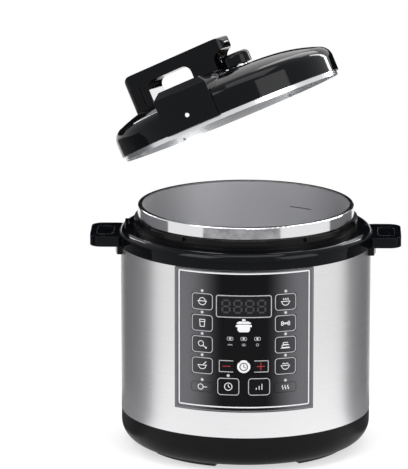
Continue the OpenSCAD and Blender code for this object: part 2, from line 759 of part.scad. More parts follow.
// ---- Lid, drawn closed and locked: nose to the front, handle along X ----
grip_base = cover_z + 31;
grip_screw_r = 1.5;
grip_screw_x = [-grip_left + 14, -4];
grip_screw_y = [-10, 10];
grip_head_r = 3.4;
post_flange_r = norm([grip_screw_x[1], grip_screw_y[1]]) - grip_head_r - fit;
float_x = 16;
float_y = 34;
// The cover's section: a straight skirt, a rounded edge, a wide crown and a flat middle
edge_r = cover_r - cover_round;
edge_z = cover_z + cover_side;
crown_low = edge_z + cover_round * cos(cover_slope);
crown_rad = (hub_z - crown_low) / (1 - cos(cover_slope));
flat_r = edge_r + cover_round * sin(cover_slope) - crown_rad * sin(cover_slope);
post_hole = 5.2;
module cover_shape(inset, low) {
  round = cover_round - inset;
  join_r = edge_r + round * sin(cover_slope);
  join_z = edge_z + round * cos(cover_slope);
  translate([0, low]) square([edge_r + round, edge_z - low]);
  translate([edge_r, edge_z]) intersection() {
    circle(round, $fn = 64);
    square(round);
  }
  intersection() {
    translate([flat_r, hub_z - crown_rad]) circle(crown_rad - inset, $fn = 360);
    translate([flat_r, low]) square([join_r - flat_r, hub_z - low]);
  }
  translate([0, low]) square([flat_r, hub_z - inset - low]);
  translate([0, low]) square([join_r, join_z - low - 1]);
}
nose_back = 38;
module nose(inset, low) {
  w = nose_w - 2 * inset;
  r = cover_r + nose_out - inset;
  top = cover_top + nose_up - inset;
  chamfer = 7;
  slope = 7;
  rotate([0, 0, nose_turn]) intersection() {
    translate([0, -nose_back - inset, 0]) rotate([90, 0, 0]) linear_extrude(r)
      polygon([[-w / 2, low], [w / 2, low], [w / 2, top - chamfer], [w / 2 - chamfer, top],
        [-w / 2 + chamfer, top], [-w / 2, top - chamfer]]);
    rotate_extrude() polygon([[0, low - 1], [r, low - 1], [r, top - slope], [r - slope, top], [0, top]]);
  }
}
module valve_holes(grow = 0) {
  pin(6 + grow, cover_z, cover_top + 20, valve_x, 0);
  pin(5 + grow, cover_z, cover_top + 20, float_x, float_y);
}
nose_low = cover_z - 1;
module lid_cover() color("#121316") {
  difference() {
    union() {
      rotate_extrude() cover_shape(0, cover_z);
      nose(0, nose_low);
      // low collar round the float valve
      pin(9, cover_top - 2, cover_top + 9, float_x, float_y);
    }
    rotate_extrude() cover_shape(cover_wall, nose_low - 1);
    nose(cover_wall, nose_low - 2);
    valve_holes(0.6);
    for (x = grip_screw_x, y = grip_screw_y) pin(2.3, cover_z, hub_z + 2, x, y);
  }
}
module lid_mark() color("#f2f2f0") {
  rotate([0, 0, nose_turn]) translate([0, -cover_r - nose_out, cover_z + 12.5]) rotate([90, 0, 0])
    cylinder(0.4, r = 2.3, $fn = 32);
}
module steel_lid() color("#c4c5c7") {
  difference() {
    union() {
      rotate_extrude() difference() {
        union() {
          translate([0, steel_top_z]) square([lid_rim_r - lid_bend, lid_steel_t]);
          translate([rim_in, steel_rim_z]) square([lid_steel_t, steel_top_z + lid_steel_t - lid_bend - steel_rim_z]);
          intersection() {
            translate([lid_rim_r - lid_bend, steel_top_z + lid_steel_t - lid_bend]) difference() {
              circle(lid_bend, $fn = 64);
              circle(lid_bend - lid_steel_t, $fn = 64);
            }
            translate([lid_rim_r - lid_bend, steel_top_z + lid_steel_t - lid_bend]) square(lid_bend);
          }
        }
      }
      for (i = [0 : lug_count - 1])
        sector(rim_in + eps, tooth_in, steel_rim_z + 0.3, steel_rim_z + 0.3 + tooth_t,
          i * 360 / lug_count - 180 / lug_count * tooth_share,
          i * 360 / lug_count + 180 / lug_count * tooth_share);
    }
    valve_holes();
    pin(post_hole, steel_top_z - 1, steel_top_z + 3);
    for (x = grip_screw_x, y = grip_screw_y) pin(2.3, steel_top_z - 1, steel_top_z + 3, x, y);
  }
}
foot_l = 29;
foot_r = 30;
foot_x = grip_right - 14;
grip_round = 13;
neck_round = 11;
module grip_side() {
  top = cover_top + grip_h;
  low = top - bar_t;
  arch_l = -grip_left + foot_l;
  arch_r = foot_x - foot_r;
  difference() {
    union() {
      translate([-grip_left, grip_base]) square([foot_l, top - grip_round - grip_base]);
      translate([-grip_left + grip_round, low]) square([grip_right + grip_left - grip_round - bar_t / 2, bar_t]);
      translate([-grip_left + grip_round, top - grip_round]) circle(grip_round, $fn = 64);
      translate([grip_right - bar_t / 2, top - bar_t / 2]) circle(bar_t / 2, $fn = 64);
      translate([arch_r, grip_base]) square([foot_r, low + 1 - grip_base]);
      translate([arch_l - 1, low - 9]) square([10, 10]);
      translate([arch_r - 9, low - 9]) square([10, 10]);
      // neck under the free end of the bar
      translate([foot_x - 1, low - neck_round]) square([neck_round + 1, neck_round + 1]);
    }
    translate([arch_l + 9, low - 9]) circle(9, $fn = 64);
    translate([arch_r - 9, low - 9]) circle(9, $fn = 64);
    translate([foot_x + neck_round, low - neck_round]) circle(neck_round, $fn = 64);
  }
}
module lid_handle() color("#101114") {
  difference() {
    intersection() {
      rotate([90, 0, 0]) linear_extrude(grip_w, center = true) grip_side();
      translate([0, 0, grip_base - 1]) linear_extrude(cover_top + grip_h + 2 - grip_base)
        translate([(grip_right - grip_left) / 2, 0]) round_rect(grip_left + grip_right, grip_w, 12);
    }
    // seated on the crowned cover
    rotate_extrude() cover_shape(-fit, cover_z);
    for (x = grip_screw_x, y = grip_screw_y)
      pin(grip_screw_r + thread_gap, grip_base - 2, cover_top + 12, x, y);
    // rib grooves on the left foot
    for (x = [-92, -82]) translate([x, -grip_w / 2 - 1, cover_top + 4]) cube([3, 2.2, 22]);
  }
}
module handle_screws() color("#8d8f92") {
  for (x = grip_screw_x, y = grip_screw_y) translate([x, y, 0])
    screw(steel_top_z, cover_top + 10 - steel_top_z, grip_screw_r, grip_head_r, 1.8);
}
knob_z = hub_z + 3;
knob_edge = 5;
pipe_low = steel_top_z - 9;
module exhaust_knob() color("#131417") {
  translate([valve_x, 0, 0]) difference() {
    union() {
      translate([0, 0, knob_z]) rotate_extrude() {
        square([knob_r, knob_h - knob_edge]);
        square([knob_r - knob_edge, knob_h]);
        translate([knob_r - knob_edge, knob_h - knob_edge]) circle(knob_edge, $fn = 48);
      }
    }
    // pointer groove in the top
    translate([4, -0.8, knob_z + knob_h - 0.8]) cube([knob_r - knob_edge - 2, 1.6, 2]);
    pin(4.4, knob_z - 1, knob_z + 9);
    difference() {
      pin(knob_r - 2.5, knob_z - 1, knob_z + 5);
      pin(7, knob_z - 2, knob_z + 6);
    }
  }
}
module exhaust_pipe() color("#b9babc") {
  translate([valve_x, 0, 0]) difference() {
    union() {
      pin(4, pipe_low, knob_z + 8);
      pin(9, hub_z, hub_z + 2);
      pin(5.9, steel_top_z + 1, hub_z + 1);
      pin(9, steel_top_z + lid_steel_t, steel_top_z + lid_steel_t + 2);
    }
    pin(1.6, pipe_low - 1, knob_z + 12);
  }
}
module pipe_nut() color("#b9babc") {
  translate([valve_x, 0, 0]) difference() {
    pin(8, steel_top_z - 3, steel_top_z);
    pin(4.05, steel_top_z - 4, steel_top_z + 1);
  }
}
module screen_cap() color("#c4c5c7") {
  translate([valve_x, 0, 0]) difference() {
    pin(9.5, steel_top_z - 10.5, steel_top_z - 0.8);
    pin(8.3, steel_top_z - 9.3, steel_top_z);
    for (i = [0 : 11]) rotate([0, 0, i * 30]) translate([5.4, 0, steel_top_z - 12]) cylinder(3, r = 1, $fn = 16);
    for (i = [0 : 9]) rotate([0, 0, i * 36]) translate([9, 0, steel_top_z - 6.8]) cube([3, 1.6, 3.2], center = true);
  }
}
module float_valve() color("#a8343a") {
  translate([float_x, float_y, 0]) {
    pin(4.2, steel_top_z - 0.2, cover_top + 6.5);
    pin(2.2, steel_top_z - 5, steel_top_z);
    pin(4.4, steel_top_z - 7.5, steel_top_z - 5);
  }
}
module float_seal() color("#6d6f73") {
  translate([float_x, float_y, 0]) tube(7.4, 2.6, steel_top_z - 1.4, steel_top_z - 0.3 + eps);
  translate([float_x, float_y, 0]) difference() {
    pin(7.4, steel_top_z - 1.4, steel_top_z);
    pin(4.6, steel_top_z - 2, steel_top_z + 1);
  }
}
inner_z = seal_z + 1.2;
inner_t = 1.5;
inner_r = rim_r - 9;
module centre_post() color("#9c9ea1") {
  difference() {
    union() {
      pin(5, inner_z - 8, steel_top_z + 3);
      pin(post_flange_r, steel_top_z + lid_steel_t, steel_top_z + 4);
      pin(post_flange_r, inner_z + inner_t + fit, steel_top_z);
    }
    pin(1.3, inner_z - 9, inner_z + 4);
  }
}
module centre_knob() color("#2a2a2d") {
  difference() {
    union() {
      pin(15, inner_z - 7, inner_z - fit);
      pin(11, inner_z - 11, inner_z - 6);
    }
    pin(5.05, inner_z - 8, inner_z + 1);
    around(8, 16, 0) pin(2.4, inner_z - 12, inner_z + 1);
  }
}
module inner_lid() color("#b4b6b9") {
  held_open() difference() {
    union() {
      translate([0, 0, inner_z]) cylinder(inner_t, r = inner_r);
      tube(inner_r, inner_r - 1.2, inner_z, inner_z + 5);
    }
    pin(5.4, inner_z - 1, inner_z + 3);
    around(8, 60, 0) pin(6, inner_z - 1, inner_z + 3);
    // room for the valve parts that turn with the lid
    rotate([0, 0, unlock]) sector(46, 18, inner_z - 1, inner_z + 3, 68, 188);
  }
}
module sealing_ring() color("#d8d9d6") {
  seal_in = inner_r + fit;
  bend_at = lid_rim_r - lid_bend;
  held_open() rotate_extrude() intersection() {
    difference() {
      translate([seal_in, seal_z]) square([rim_r + 1 - seal_in, seal_t]);
      translate([seal_in - 1, seal_z + 2.4]) square([4.6, seal_t - 4.6]);
      translate([rim_r - 2, seal_z + 2]) square([4, 1.6]);
    }
    // rounded to lie in the bend of the lid's steel
    union() {
      translate([0, seal_z - 1]) square([bend_at, seal_t + 2]);
      translate([bend_at, steel_top_z + lid_steel_t - lid_bend]) circle(lid_bend - lid_steel_t - fit, $fn = 64);
    }
  }
}

base_housing();
feet();
steel_body();
collar();
handle_covers();
outer_pot();
inner_pot();
heating_plate();
heating_element();
temperature_sensor();
sensor_spring();
sensor_bracket();
thermal_fuse();
pressure_switch();
tie_posts();
base_screws();
post_screws();
control_panel();
display_window();
display_module();
lamp_lenses();
control_board();
tact_switches();
board_screws();
power_board();
power_parts();
power_inlet();
wiring();
condensate_cup();
lid_place() lid_cover();
lid_place() lid_mark();
lid_place() steel_lid();
lid_place() lid_handle();
lid_place() handle_screws();
lid_place() exhaust_knob();
lid_place() exhaust_pipe();
lid_place() pipe_nut();
lid_place() screen_cap();
lid_place() float_valve();
lid_place() float_seal();
lid_place() centre_post();
lid_place() centre_knob();
inner_lid();
sealing_ring();
key_cap(0);  // key_left_1
key_cap(1);  // key_left_2
key_cap(2);  // key_left_3
key_cap(3);  // key_left_4
key_cap(4);  // key_left_5
key_cap(5);  // key_right_1
key_cap(6);  // key_right_2
key_cap(7);  // key_right_3
key_cap(8);  // key_right_4
key_cap(9);  // key_right_5
key_cap(10);  // key_minus
key_cap(11);  // key_plus
key_cap(12);  // key_low_left
key_cap(13);  // key_low_right
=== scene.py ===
"""Looks for the electric pressure cooker: finishes, printed panel, and a plain studio."""

import logging
import math
from dataclasses import dataclass, field
from enum import Enum

import bmesh
import bpy
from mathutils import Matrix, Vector


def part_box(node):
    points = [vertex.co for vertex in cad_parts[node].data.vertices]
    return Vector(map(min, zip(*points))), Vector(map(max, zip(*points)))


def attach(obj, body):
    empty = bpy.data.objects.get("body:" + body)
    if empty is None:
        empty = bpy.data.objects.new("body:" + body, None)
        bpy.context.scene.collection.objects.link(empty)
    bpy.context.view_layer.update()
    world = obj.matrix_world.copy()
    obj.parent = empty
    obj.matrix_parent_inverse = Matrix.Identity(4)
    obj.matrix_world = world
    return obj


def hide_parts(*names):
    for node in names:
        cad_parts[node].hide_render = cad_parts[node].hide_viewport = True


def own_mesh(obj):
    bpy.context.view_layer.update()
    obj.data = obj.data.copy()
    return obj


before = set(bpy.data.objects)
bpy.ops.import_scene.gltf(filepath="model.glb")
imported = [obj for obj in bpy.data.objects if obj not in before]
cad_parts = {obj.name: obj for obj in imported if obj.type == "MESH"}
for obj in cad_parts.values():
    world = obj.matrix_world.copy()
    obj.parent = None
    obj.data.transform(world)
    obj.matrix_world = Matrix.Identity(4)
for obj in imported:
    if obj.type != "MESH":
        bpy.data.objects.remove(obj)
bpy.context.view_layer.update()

LOG = logging.getLogger("pressure_cooker")
MM = 0.001
# Most of a noise texture's values lie between these two.
NOISE_LOW, NOISE_HIGH = 0.3, 0.7
WHITE = (1.0, 1.0, 1.0, 1.0)

Point = tuple[float, float]
Outline = list[Point]
Tree = bpy.types.NodeTree
Node = bpy.types.Node
Socket = bpy.types.NodeSocket


# ---------------------------------------------------------------- small tools
def linear(code: str) -> tuple[float, float, float, float]:
    """Turn an sRGB hex colour into linear light.

    Args:
        code: colour as "#rrggbb".

    Returns:
        Linear red, green, blue and an alpha of one.
    """
    channels = [int(code[i:i + 2], 16) / 255 for i in (1, 3, 5)]
    light = [c / 12.92 if c <= 0.04045 else ((c + 0.055) / 1.055) ** 2.4 for c in channels]
    return (*light, 1.0)


def add_node(tree: Tree, kind: str, inputs: dict | None = None, **settings: object) -> Node:
    """Add one node, with its settings, values and links.

    Args:
        tree: node tree that takes the node.
        kind: Blender's type name of the node.
        inputs: value, or output socket to link, for each input name or number.
        settings: attributes of the node.

    Returns:
        The new node.
    """
    node = tree.nodes.new(kind)
    for name, value in settings.items():
        setattr(node, name, value)
    for key, value in (inputs or {}).items():
        if isinstance(value, bpy.types.NodeSocket):
            tree.links.new(value, node.inputs[key])
        else:
            node.inputs[key].default_value = value
    return node


def reach_from_axis(tree: Tree, place: Socket) -> Socket:
    """Measure how far each point lies from the cooker's axis.

    Args:
        tree: the material's nodes.
        place: coordinates in metres in the row frame.

    Returns:
        The distance, in metres.
    """
    flat = add_node(tree, "ShaderNodeVectorMath", {0: place, 1: (1, 1, 0)}, operation="MULTIPLY")
    reach = add_node(tree, "ShaderNodeVectorMath", {0: flat.outputs["Vector"]},
                     operation="LENGTH")
    return reach.outputs["Value"]


class Grain(Enum):
    """Which way the marks of a surface's making run."""

    ROUND = "round the upright axis"
    RINGS = "rings about the upright axis"


# ------------------------------------------------------------------- finishes
@dataclass(frozen=True)
class Finish:
    """One real material with the surface that its making left.

    Attributes:
        name: material name, after the real material and process.
        colour: sRGB hex colour.
        roughness: mean roughness.
        metallic: 1 for bare metal.
        ior: refractive index, for what isn't a metal.
        specular: how much of the usual reflection the surface keeps.
        edge_mm: radius of the worn or moulded rounding along sharp edges.
    """

    name: str
    colour: str
    roughness: float = 0.4
    metallic: float = 0.0
    ior: float = 1.5
    specular: float = 0.5
    edge_mm: float = 0.0

    def build(self) -> bpy.types.Material:
        """Make the material, or return it if it is there already.

        Returns:
            The material.
        """
        made = bpy.data.materials.get(self.name)
        if made:
            return made
        material = bpy.data.materials.new(self.name)
        material.use_nodes = True
        tree = material.node_tree
        shader = tree.nodes["Principled BSDF"]
        shader.inputs["Base Color"].default_value = linear(self.colour)
        shader.inputs["Roughness"].default_value = self.roughness
        shader.inputs["Metallic"].default_value = self.metallic
        if not self.metallic:
            shader.inputs["IOR"].default_value = self.ior
            shader.inputs["Specular IOR Level"].default_value = self.specular
        material.diffuse_color = linear(self.colour)
        place = add_node(tree, "ShaderNodeTexCoord").outputs["Object"]
        normal = None
        if self.edge_mm:
            normal = add_node(tree, "ShaderNodeBevel", {"Radius": self.edge_mm * MM},
                              samples=4).outputs["Normal"]
            tree.links.new(normal, shader.inputs["Normal"])
        self.pattern(tree, shader, place, normal)
        return material

    def pattern(self, tree: Tree, shader: Node, place: Socket, normal: Socket | None) -> None:
        """Add what the making left on the surface; a plain finish varies only in gloss.

        Args:
            tree: the material's nodes.
            shader: its main shader.
            place: coordinates in metres in the row frame.
            normal: rounded-edge normal, or None.
        """
        self.vary_gloss(tree, shader, place, patch_mm=60.0, share=0.12)

    def vary_gloss(self, tree: Tree, shader: Node, place: Socket, patch_mm: float,
                   share: float) -> None:
        """Let the roughness drift over the surface, as handling leaves it.

        Args:
            tree: the material's nodes.
            shader: its main shader.
            place: coordinates in metres in the row frame.
            patch_mm: size of a patch of one gloss.
            share: how far the roughness strays, as a share of itself.
        """
        cloud = add_node(tree, "ShaderNodeTexNoise",
                         {"Vector": place, "Scale": 1 / (patch_mm * MM), "Detail": 3.0})
        self.spread_gloss(tree, shader, cloud.outputs["Fac"], share)

    def spread_gloss(self, tree: Tree, shader: Node, cloud: Socket, share: float) -> None:
        """Let a noise move the roughness to both sides of its mean.

        Args:
            tree: the material's nodes.
            shader: its main shader.
            cloud: the noise.
            share: how far the roughness strays, as a share of itself.
        """
        span = add_node(tree, "ShaderNodeMapRange", {
            "Value": cloud, "From Min": NOISE_LOW, "From Max": NOISE_HIGH,
            "To Min": self.roughness * (1 - share), "To Max": self.roughness * (1 + share)})
        tree.links.new(span.outputs["Result"], shader.inputs["Roughness"])

    def bump(self, tree: Tree, shader: Node, height: Socket, depth_mm: float,
             normal: Socket | None) -> None:
        """Raise the surface by a pattern.

        Args:
            tree: the material's nodes.
            shader: its main shader.
            height: pattern, from 0 to 1.
            depth_mm: height of the relief.
            normal: rounded-edge normal, or None.
        """
        inputs = {"Height": height, "Strength": 1.0, "Distance": depth_mm * MM}
        if normal:
            inputs["Normal"] = normal
        relief = add_node(tree, "ShaderNodeBump", inputs)
        tree.links.new(relief.outputs["Normal"], shader.inputs["Normal"])


@dataclass(frozen=True)
class BrushedSheet(Finish):
    """Steel or aluminium sheet with the fine lines of an abrasive belt.

    Attributes:
        line_mm: spacing of the lines.
        depth_mm: depth of the lines.
        drift_mm: length over which a line keeps its tone.
        shade_low: colour of the darkest line, as a share of the metal's own.
        grain: which way they run.
        stretch: how strongly highlights spread across the lines.
    """

    metallic: float = 1.0
    line_mm: float = 0.45
    depth_mm: float = 0.004
    drift_mm: float = 60.0
    shade_low: float = 0.93
    grain: Grain = Grain.ROUND
    stretch: float = 0.0

    def pattern(self, tree: Tree, shader: Node, place: Socket, normal: Socket | None) -> None:
        """Draw the belt lines in the relief, the colour and the gloss.

        Args:
            tree: the material's nodes.
            shader: its main shader.
            place: coordinates in metres in the row frame.
            normal: rounded-edge normal, or None.
        """
        fine, along = 1 / (self.line_mm * MM), 1 / (self.drift_mm * MM)
        if self.grain is Grain.RINGS:
            reach = reach_from_axis(tree, place)
            lines_at = add_node(tree, "ShaderNodeCombineXYZ", {"X": reach}).outputs["Vector"]
            scale = (fine, along, along)
        else:
            lines_at = place
            scale = (along, along, fine)
        spread = add_node(tree, "ShaderNodeVectorMath", {0: lines_at, 1: scale},
                          operation="MULTIPLY")
        lines = add_node(tree, "ShaderNodeTexNoise", {
            "Vector": spread.outputs["Vector"], "Scale": 1.0, "Detail": 5.0,
            "Roughness": 0.65}).outputs["Fac"]
        tint = add_node(tree, "ShaderNodeMapRange", {
            "Value": lines, "From Min": NOISE_LOW, "From Max": NOISE_HIGH,
            "To Min": self.shade_low, "To Max": 1.0})
        shade = add_node(tree, "ShaderNodeVectorMath", {
            0: linear(self.colour)[:3], "Scale": tint.outputs["Result"]}, operation="SCALE")
        tree.links.new(shade.outputs["Vector"], shader.inputs["Base Color"])
        self.spread_gloss(tree, shader, lines, share=0.1)
        self.bump(tree, shader, lines, self.depth_mm, normal)
        if self.stretch:
            shader.inputs["Anisotropic"].default_value = self.stretch
            lie = add_node(tree, "ShaderNodeTangent", direction_type="RADIAL", axis="Z")
            tree.links.new(lie.outputs["Tangent"], shader.inputs["Tangent"])


@dataclass(frozen=True)
class PolishedSheet(Finish):
    """Drawn and buffed metal, almost a mirror, with faint draw waves.

    Attributes:
        wave_mm: length of the waves that drawing leaves.
        depth_mm: depth of the waves.
    """

    metallic: float = 1.0
    wave_mm: float = 25.0
    depth_mm: float = 0.01

    def pattern(self, tree: Tree, shader: Node, place: Socket, normal: Socket | None) -> None:
        """Add slow waves and a slight haze from buffing.

        Args:
            tree: the material's nodes.
            shader: its main shader.
            place: coordinates in metres in the row frame.
            normal: rounded-edge normal, or None.
        """
        self.vary_gloss(tree, shader, place, patch_mm=12.0, share=0.35)
        wave = add_node(tree, "ShaderNodeTexNoise",
                        {"Vector": place, "Scale": 1 / (self.wave_mm * MM), "Detail": 1.0})
        self.bump(tree, shader, wave.outputs["Fac"], self.depth_mm, normal)


@dataclass(frozen=True)
class BuffedPot(PolishedSheet):
    """Pot that is buffed outside and on its rim, and left satin inside.

    Attributes:
        inside: roughness of the satin inside.
        bore_mm: radius of the bore.
        slack_mm: how far past the bore the satin is still drawn, inside the wall.
        lip_mm: height from which the rim is buffed again.
    """

    inside: float = 0.36
    bore_mm: float = 112.0
    slack_mm: float = 0.4
    lip_mm: float = 262.5

    def pattern(self, tree: Tree, shader: Node, place: Socket, normal: Socket | None) -> None:
        """Give the inside its own gloss, by radius and height.

        Args:
            tree: the material's nodes.
            shader: its main shader.
            place: coordinates in metres in the row frame.
            normal: rounded-edge normal, or None.
        """
        super().pattern(tree, shader, place, normal)
        buffed = shader.inputs["Roughness"].links[0].from_socket
        within = add_node(tree, "ShaderNodeMath", {
            0: reach_from_axis(tree, place), 1: (self.bore_mm + self.slack_mm) * MM},
            operation="LESS_THAN")
        height = add_node(tree, "ShaderNodeSeparateXYZ", {"Vector": place})
        below = add_node(tree, "ShaderNodeMath", {
            0: height.outputs["Z"], 1: self.lip_mm * MM}, operation="LESS_THAN")
        satin = add_node(tree, "ShaderNodeMath", {
            0: within.outputs["Value"], 1: below.outputs["Value"]}, operation="MULTIPLY")
        mix = add_node(tree, "ShaderNodeMix", {
            "Factor": satin.outputs["Value"], "A": buffed, "B": self.inside})
        tree.links.new(mix.outputs["Result"], shader.inputs["Roughness"])


@dataclass(frozen=True)
class Moulding(Finish):
    """Plastic or rubber from a mould, with the mould's spark-eroded or polished skin.

    A real mould's skin is finer than the grain given here; it is drawn coarser, so that it
    shows.

    Attributes:
        grain_mm: size of the skin's grain.
        depth_mm: height of the grain.
    """

    grain_mm: float = 1.2
    depth_mm: float = 0.01

    def pattern(self, tree: Tree, shader: Node, place: Socket, normal: Socket | None) -> None:
        """Add the mould's grain and a drift in gloss.

        Args:
            tree: the material's nodes.
            shader: its main shader.
            place: coordinates in metres in the row frame.
            normal: rounded-edge normal, or None.
        """
        self.vary_gloss(tree, shader, place, patch_mm=35.0, share=0.15)
        if self.depth_mm:
            skin = add_node(tree, "ShaderNodeTexNoise", {
                "Vector": place, "Scale": 1 / (self.grain_mm * MM), "Detail": 2.0,
                "Roughness": 0.6})
            self.bump(tree, shader, skin.outputs["Fac"], self.depth_mm, normal)


@dataclass(frozen=True)
class CastMetal(Finish):
    """Die-cast metal, with the slightly orange-peeled skin of the die.

    Attributes:
        grain_mm: size of the skin's bumps.
        depth_mm: height of the bumps.
        dark: sRGB hex colour of the oxide in its hollows.
    """

    metallic: float = 1.0
    grain_mm: float = 1.6
    depth_mm: float = 0.02
    dark: str = "#77797d"

    def pattern(self, tree: Tree, shader: Node, place: Socket, normal: Socket | None) -> None:
        """Mottle the colour with oxide and raise the skin.

        Args:
            tree: the material's nodes.
            shader: its main shader.
            place: coordinates in metres in the row frame.
            normal: rounded-edge normal, or None.
        """
        skin = add_node(tree, "ShaderNodeTexNoise", {
            "Vector": place, "Scale": 1 / (self.grain_mm * MM), "Detail": 4.0}).outputs["Fac"]
        mix = add_node(tree, "ShaderNodeMix", {
            "Factor": skin, "A": linear(self.dark), "B": linear(self.colour)}, data_type="RGBA")
        tree.links.new(mix.outputs["Result"], shader.inputs["Base Color"])
        self.bump(tree, shader, skin, self.depth_mm, normal)


@dataclass(frozen=True)
class FilmWithPaintedReflection(Finish):
    """Screen-printed polycarbonate film, near black; the charcoal at its sides is painted
    reflection.

    Attributes:
        side: sRGB hex colour of the painted reflection at the sides.
        dark_mm: distance from the middle up to which the film is near black, without painted
            reflection.
        side_mm: distance from the middle at which the painted reflection reaches the side colour.
    """

    side: str = "#5c5b5e"
    dark_mm: float = 22.0
    side_mm: float = 64.0

    def pattern(self, tree: Tree, shader: Node, place: Socket, normal: Socket | None) -> None:
        """Paint a reflection that grows from the near black middle to the sides.

        Args:
            tree: the material's nodes.
            shader: its main shader.
            place: coordinates in metres in the row frame.
            normal: rounded-edge normal, or None.
        """
        parts = add_node(tree, "ShaderNodeSeparateXYZ", {"Vector": place})
        away = add_node(tree, "ShaderNodeMath", {0: parts.outputs["X"]}, operation="ABSOLUTE")
        # Painted reflection: the film's own colour turns to the side colour away from the middle.
        fade = add_node(tree, "ShaderNodeMapRange", {
            "Value": away.outputs["Value"], "From Min": self.dark_mm * MM,
            "From Max": self.side_mm * MM}, interpolation_type="SMOOTHSTEP")
        mix = add_node(tree, "ShaderNodeMix", {
            "Factor": fade.outputs["Result"], "A": linear(self.colour),
            "B": linear(self.side)}, data_type="RGBA")
        tree.links.new(mix.outputs["Result"], shader.inputs["Base Color"])
        self.vary_gloss(tree, shader, place, patch_mm=30.0, share=0.1)


@dataclass(frozen=True)
class CircuitLaminate(Finish):
    """Glass-fibre board under solder mask, with copper tracks showing through.

    Attributes:
        track: sRGB hex colour over copper.
        pitch_mm: distance between tracks.
        depth_mm: height of a track under the mask.
    """

    track: str = "#3f9a5a"
    pitch_mm: float = 2.54
    depth_mm: float = 0.03

    def pattern(self, tree: Tree, shader: Node, place: Socket, normal: Socket | None) -> None:
        """Lay square-cornered tracks on the mask.

        They run in X and Y, so an upright board shows stripes at most.

        Args:
            tree: the material's nodes.
            shader: its main shader.
            place: coordinates in metres in the row frame.
            normal: rounded-edge normal, or None.
        """
        mask = linear(self.colour)
        grid = add_node(tree, "ShaderNodeTexBrick", {
            "Vector": place, "Color1": mask, "Color2": mask, "Mortar": linear(self.track),
            "Scale": 1 / (self.pitch_mm * 4 * MM), "Mortar Size": 0.03, "Brick Width": 0.9,
            "Row Height": 0.25})
        tree.links.new(grid.outputs["Color"], shader.inputs["Base Color"])
        self.bump(tree, shader, grid.outputs["Fac"], self.depth_mm, normal)


@dataclass(frozen=True)
class ClearMoulding(Finish):
    """Clear or milky plastic that lets light through.

    Attributes:
        clarity: share of the light that passes.
    """

    clarity: float = 0.6

    def pattern(self, tree: Tree, shader: Node, place: Socket, normal: Socket | None) -> None:
        """Let light through, with a drift in haze.

        Args:
            tree: the material's nodes.
            shader: its main shader.
            place: coordinates in metres in the row frame.
            normal: rounded-edge normal, or None.
        """
        shader.inputs["Transmission Weight"].default_value = self.clarity
        self.vary_gloss(tree, shader, place, patch_mm=20.0, share=0.2)


# Stainless sheet, belt-ground round the body: soft upright bands of light over fine level
# lines. A belt leaves finer lines; these are drawn coarser, so that they show.
BELT_GROUND_STAINLESS = BrushedSheet(
    "belt_ground_stainless", "#e4e3e4", roughness=0.3, line_mm=0.5, stretch=0.55)
# The lid's pressed stainless shell, seen from below: softly blurred reflections over lines
# that are drawn coarser than real. They are level at rest, though the lid is tilted there.
PRESSED_STAINLESS = BrushedSheet(
    "pressed_stainless", "#d6d7d9", roughness=0.22, line_mm=0.4)
# Buffed stainless of the exhaust pipe and screen cap: hard white and dark reflections.
BUFFED_STAINLESS = PolishedSheet("buffed_stainless", "#d4d5d7", roughness=0.09)
# Deep-drawn pot: the same buffing outside, and a satin bore that spreads the light it holds.
BUFFED_POT = BuffedPot("buffed_stainless_pot", "#e2e2e4", roughness=0.09)
# Gloss ABS from a polished mould: black with crisp softbox edges.
GLOSS_ABS = Moulding(
    "gloss_black_abs", "#040508", roughness=0.07, ior=1.5, specular=0.12, edge_mm=0.7,
    depth_mm=0.0)
# Satin polypropylene of the base: charcoal, soft sheen, fine spark texture.
SATIN_POLYPROPYLENE = Moulding(
    "satin_charcoal_polypropylene", "#0c0b0d", roughness=0.4, specular=0.11, edge_mm=0.8,
    grain_mm=0.9, depth_mm=0.012)
# Baked black coat on the outer pot's steel: deep black with a soft, low reflection.
BAKED_COAT = Moulding(
    "baked_black_coat", "#0a0a0b", roughness=0.22, specular=0.16, edge_mm=0.3,
    grain_mm=1.5, depth_mm=0.006)
# Screen-printed film: near black, little shine; its charcoal sides are painted reflection.
PANEL_FILM = FilmWithPaintedReflection(
    "printed_panel_film_with_painted_reflection", "#070608", roughness=0.2, specular=0.09, edge_mm=0.5)
# The same film on a key: towards the panel's sides its painted reflection is darker than
# the film round it, so that the keys show.
KEY_FILM = FilmWithPaintedReflection(
    "printed_key_film_with_painted_reflection", "#0b0a0c", roughness=0.24, specular=0.09, edge_mm=0.3, side="#434245")
# Smoked acrylic of the window: a deep grey-black gloss.
SMOKED_ACRYLIC = Moulding(
    "smoked_acrylic", "#0e0e11", roughness=0.08, ior=1.49, specular=0.16, depth_mm=0.0)
# Light grey ink of the outlines: flat, softer than the pictures.
LIGHT_GREY_INK = Finish("light_grey_ink", "#a3a3a7", roughness=0.5, specular=0.3)
# White ink of pictures and border: flat, and bright against the film.
WHITE_INK = Finish("white_ink", "#d4d4d7", roughness=0.5, specular=0.3)
# Red ink of the minus and the plus: deep red on near black.
RED_INK = Finish("red_ink", "#962829", roughness=0.5, specular=0.3)
# Dark ink of the clock on its white disc.
DARK_INK = Finish("dark_ink", "#2a2a2d", roughness=0.5, specular=0.3)
# Grey along the panel's outer edge: a painted highlight that stands for the film's bevel.
BEVEL_PAINTED_HIGHLIGHT = Finish("panel_bevel_painted_highlight", "#69696c", roughness=0.4, specular=0.3)
# Segments of the display, unlit: dark grey, a little lighter than the window.
UNLIT_SEGMENT = Finish("unlit_display_segment", "#37373a", roughness=0.35, specular=0.15)
# Diffusing acrylic light guides: pale, slightly milky dots.
MILKY_ACRYLIC = ClearMoulding(
    "milky_acrylic_light_guide", "#d4d6d8", roughness=0.3, ior=1.49, clarity=0.25)
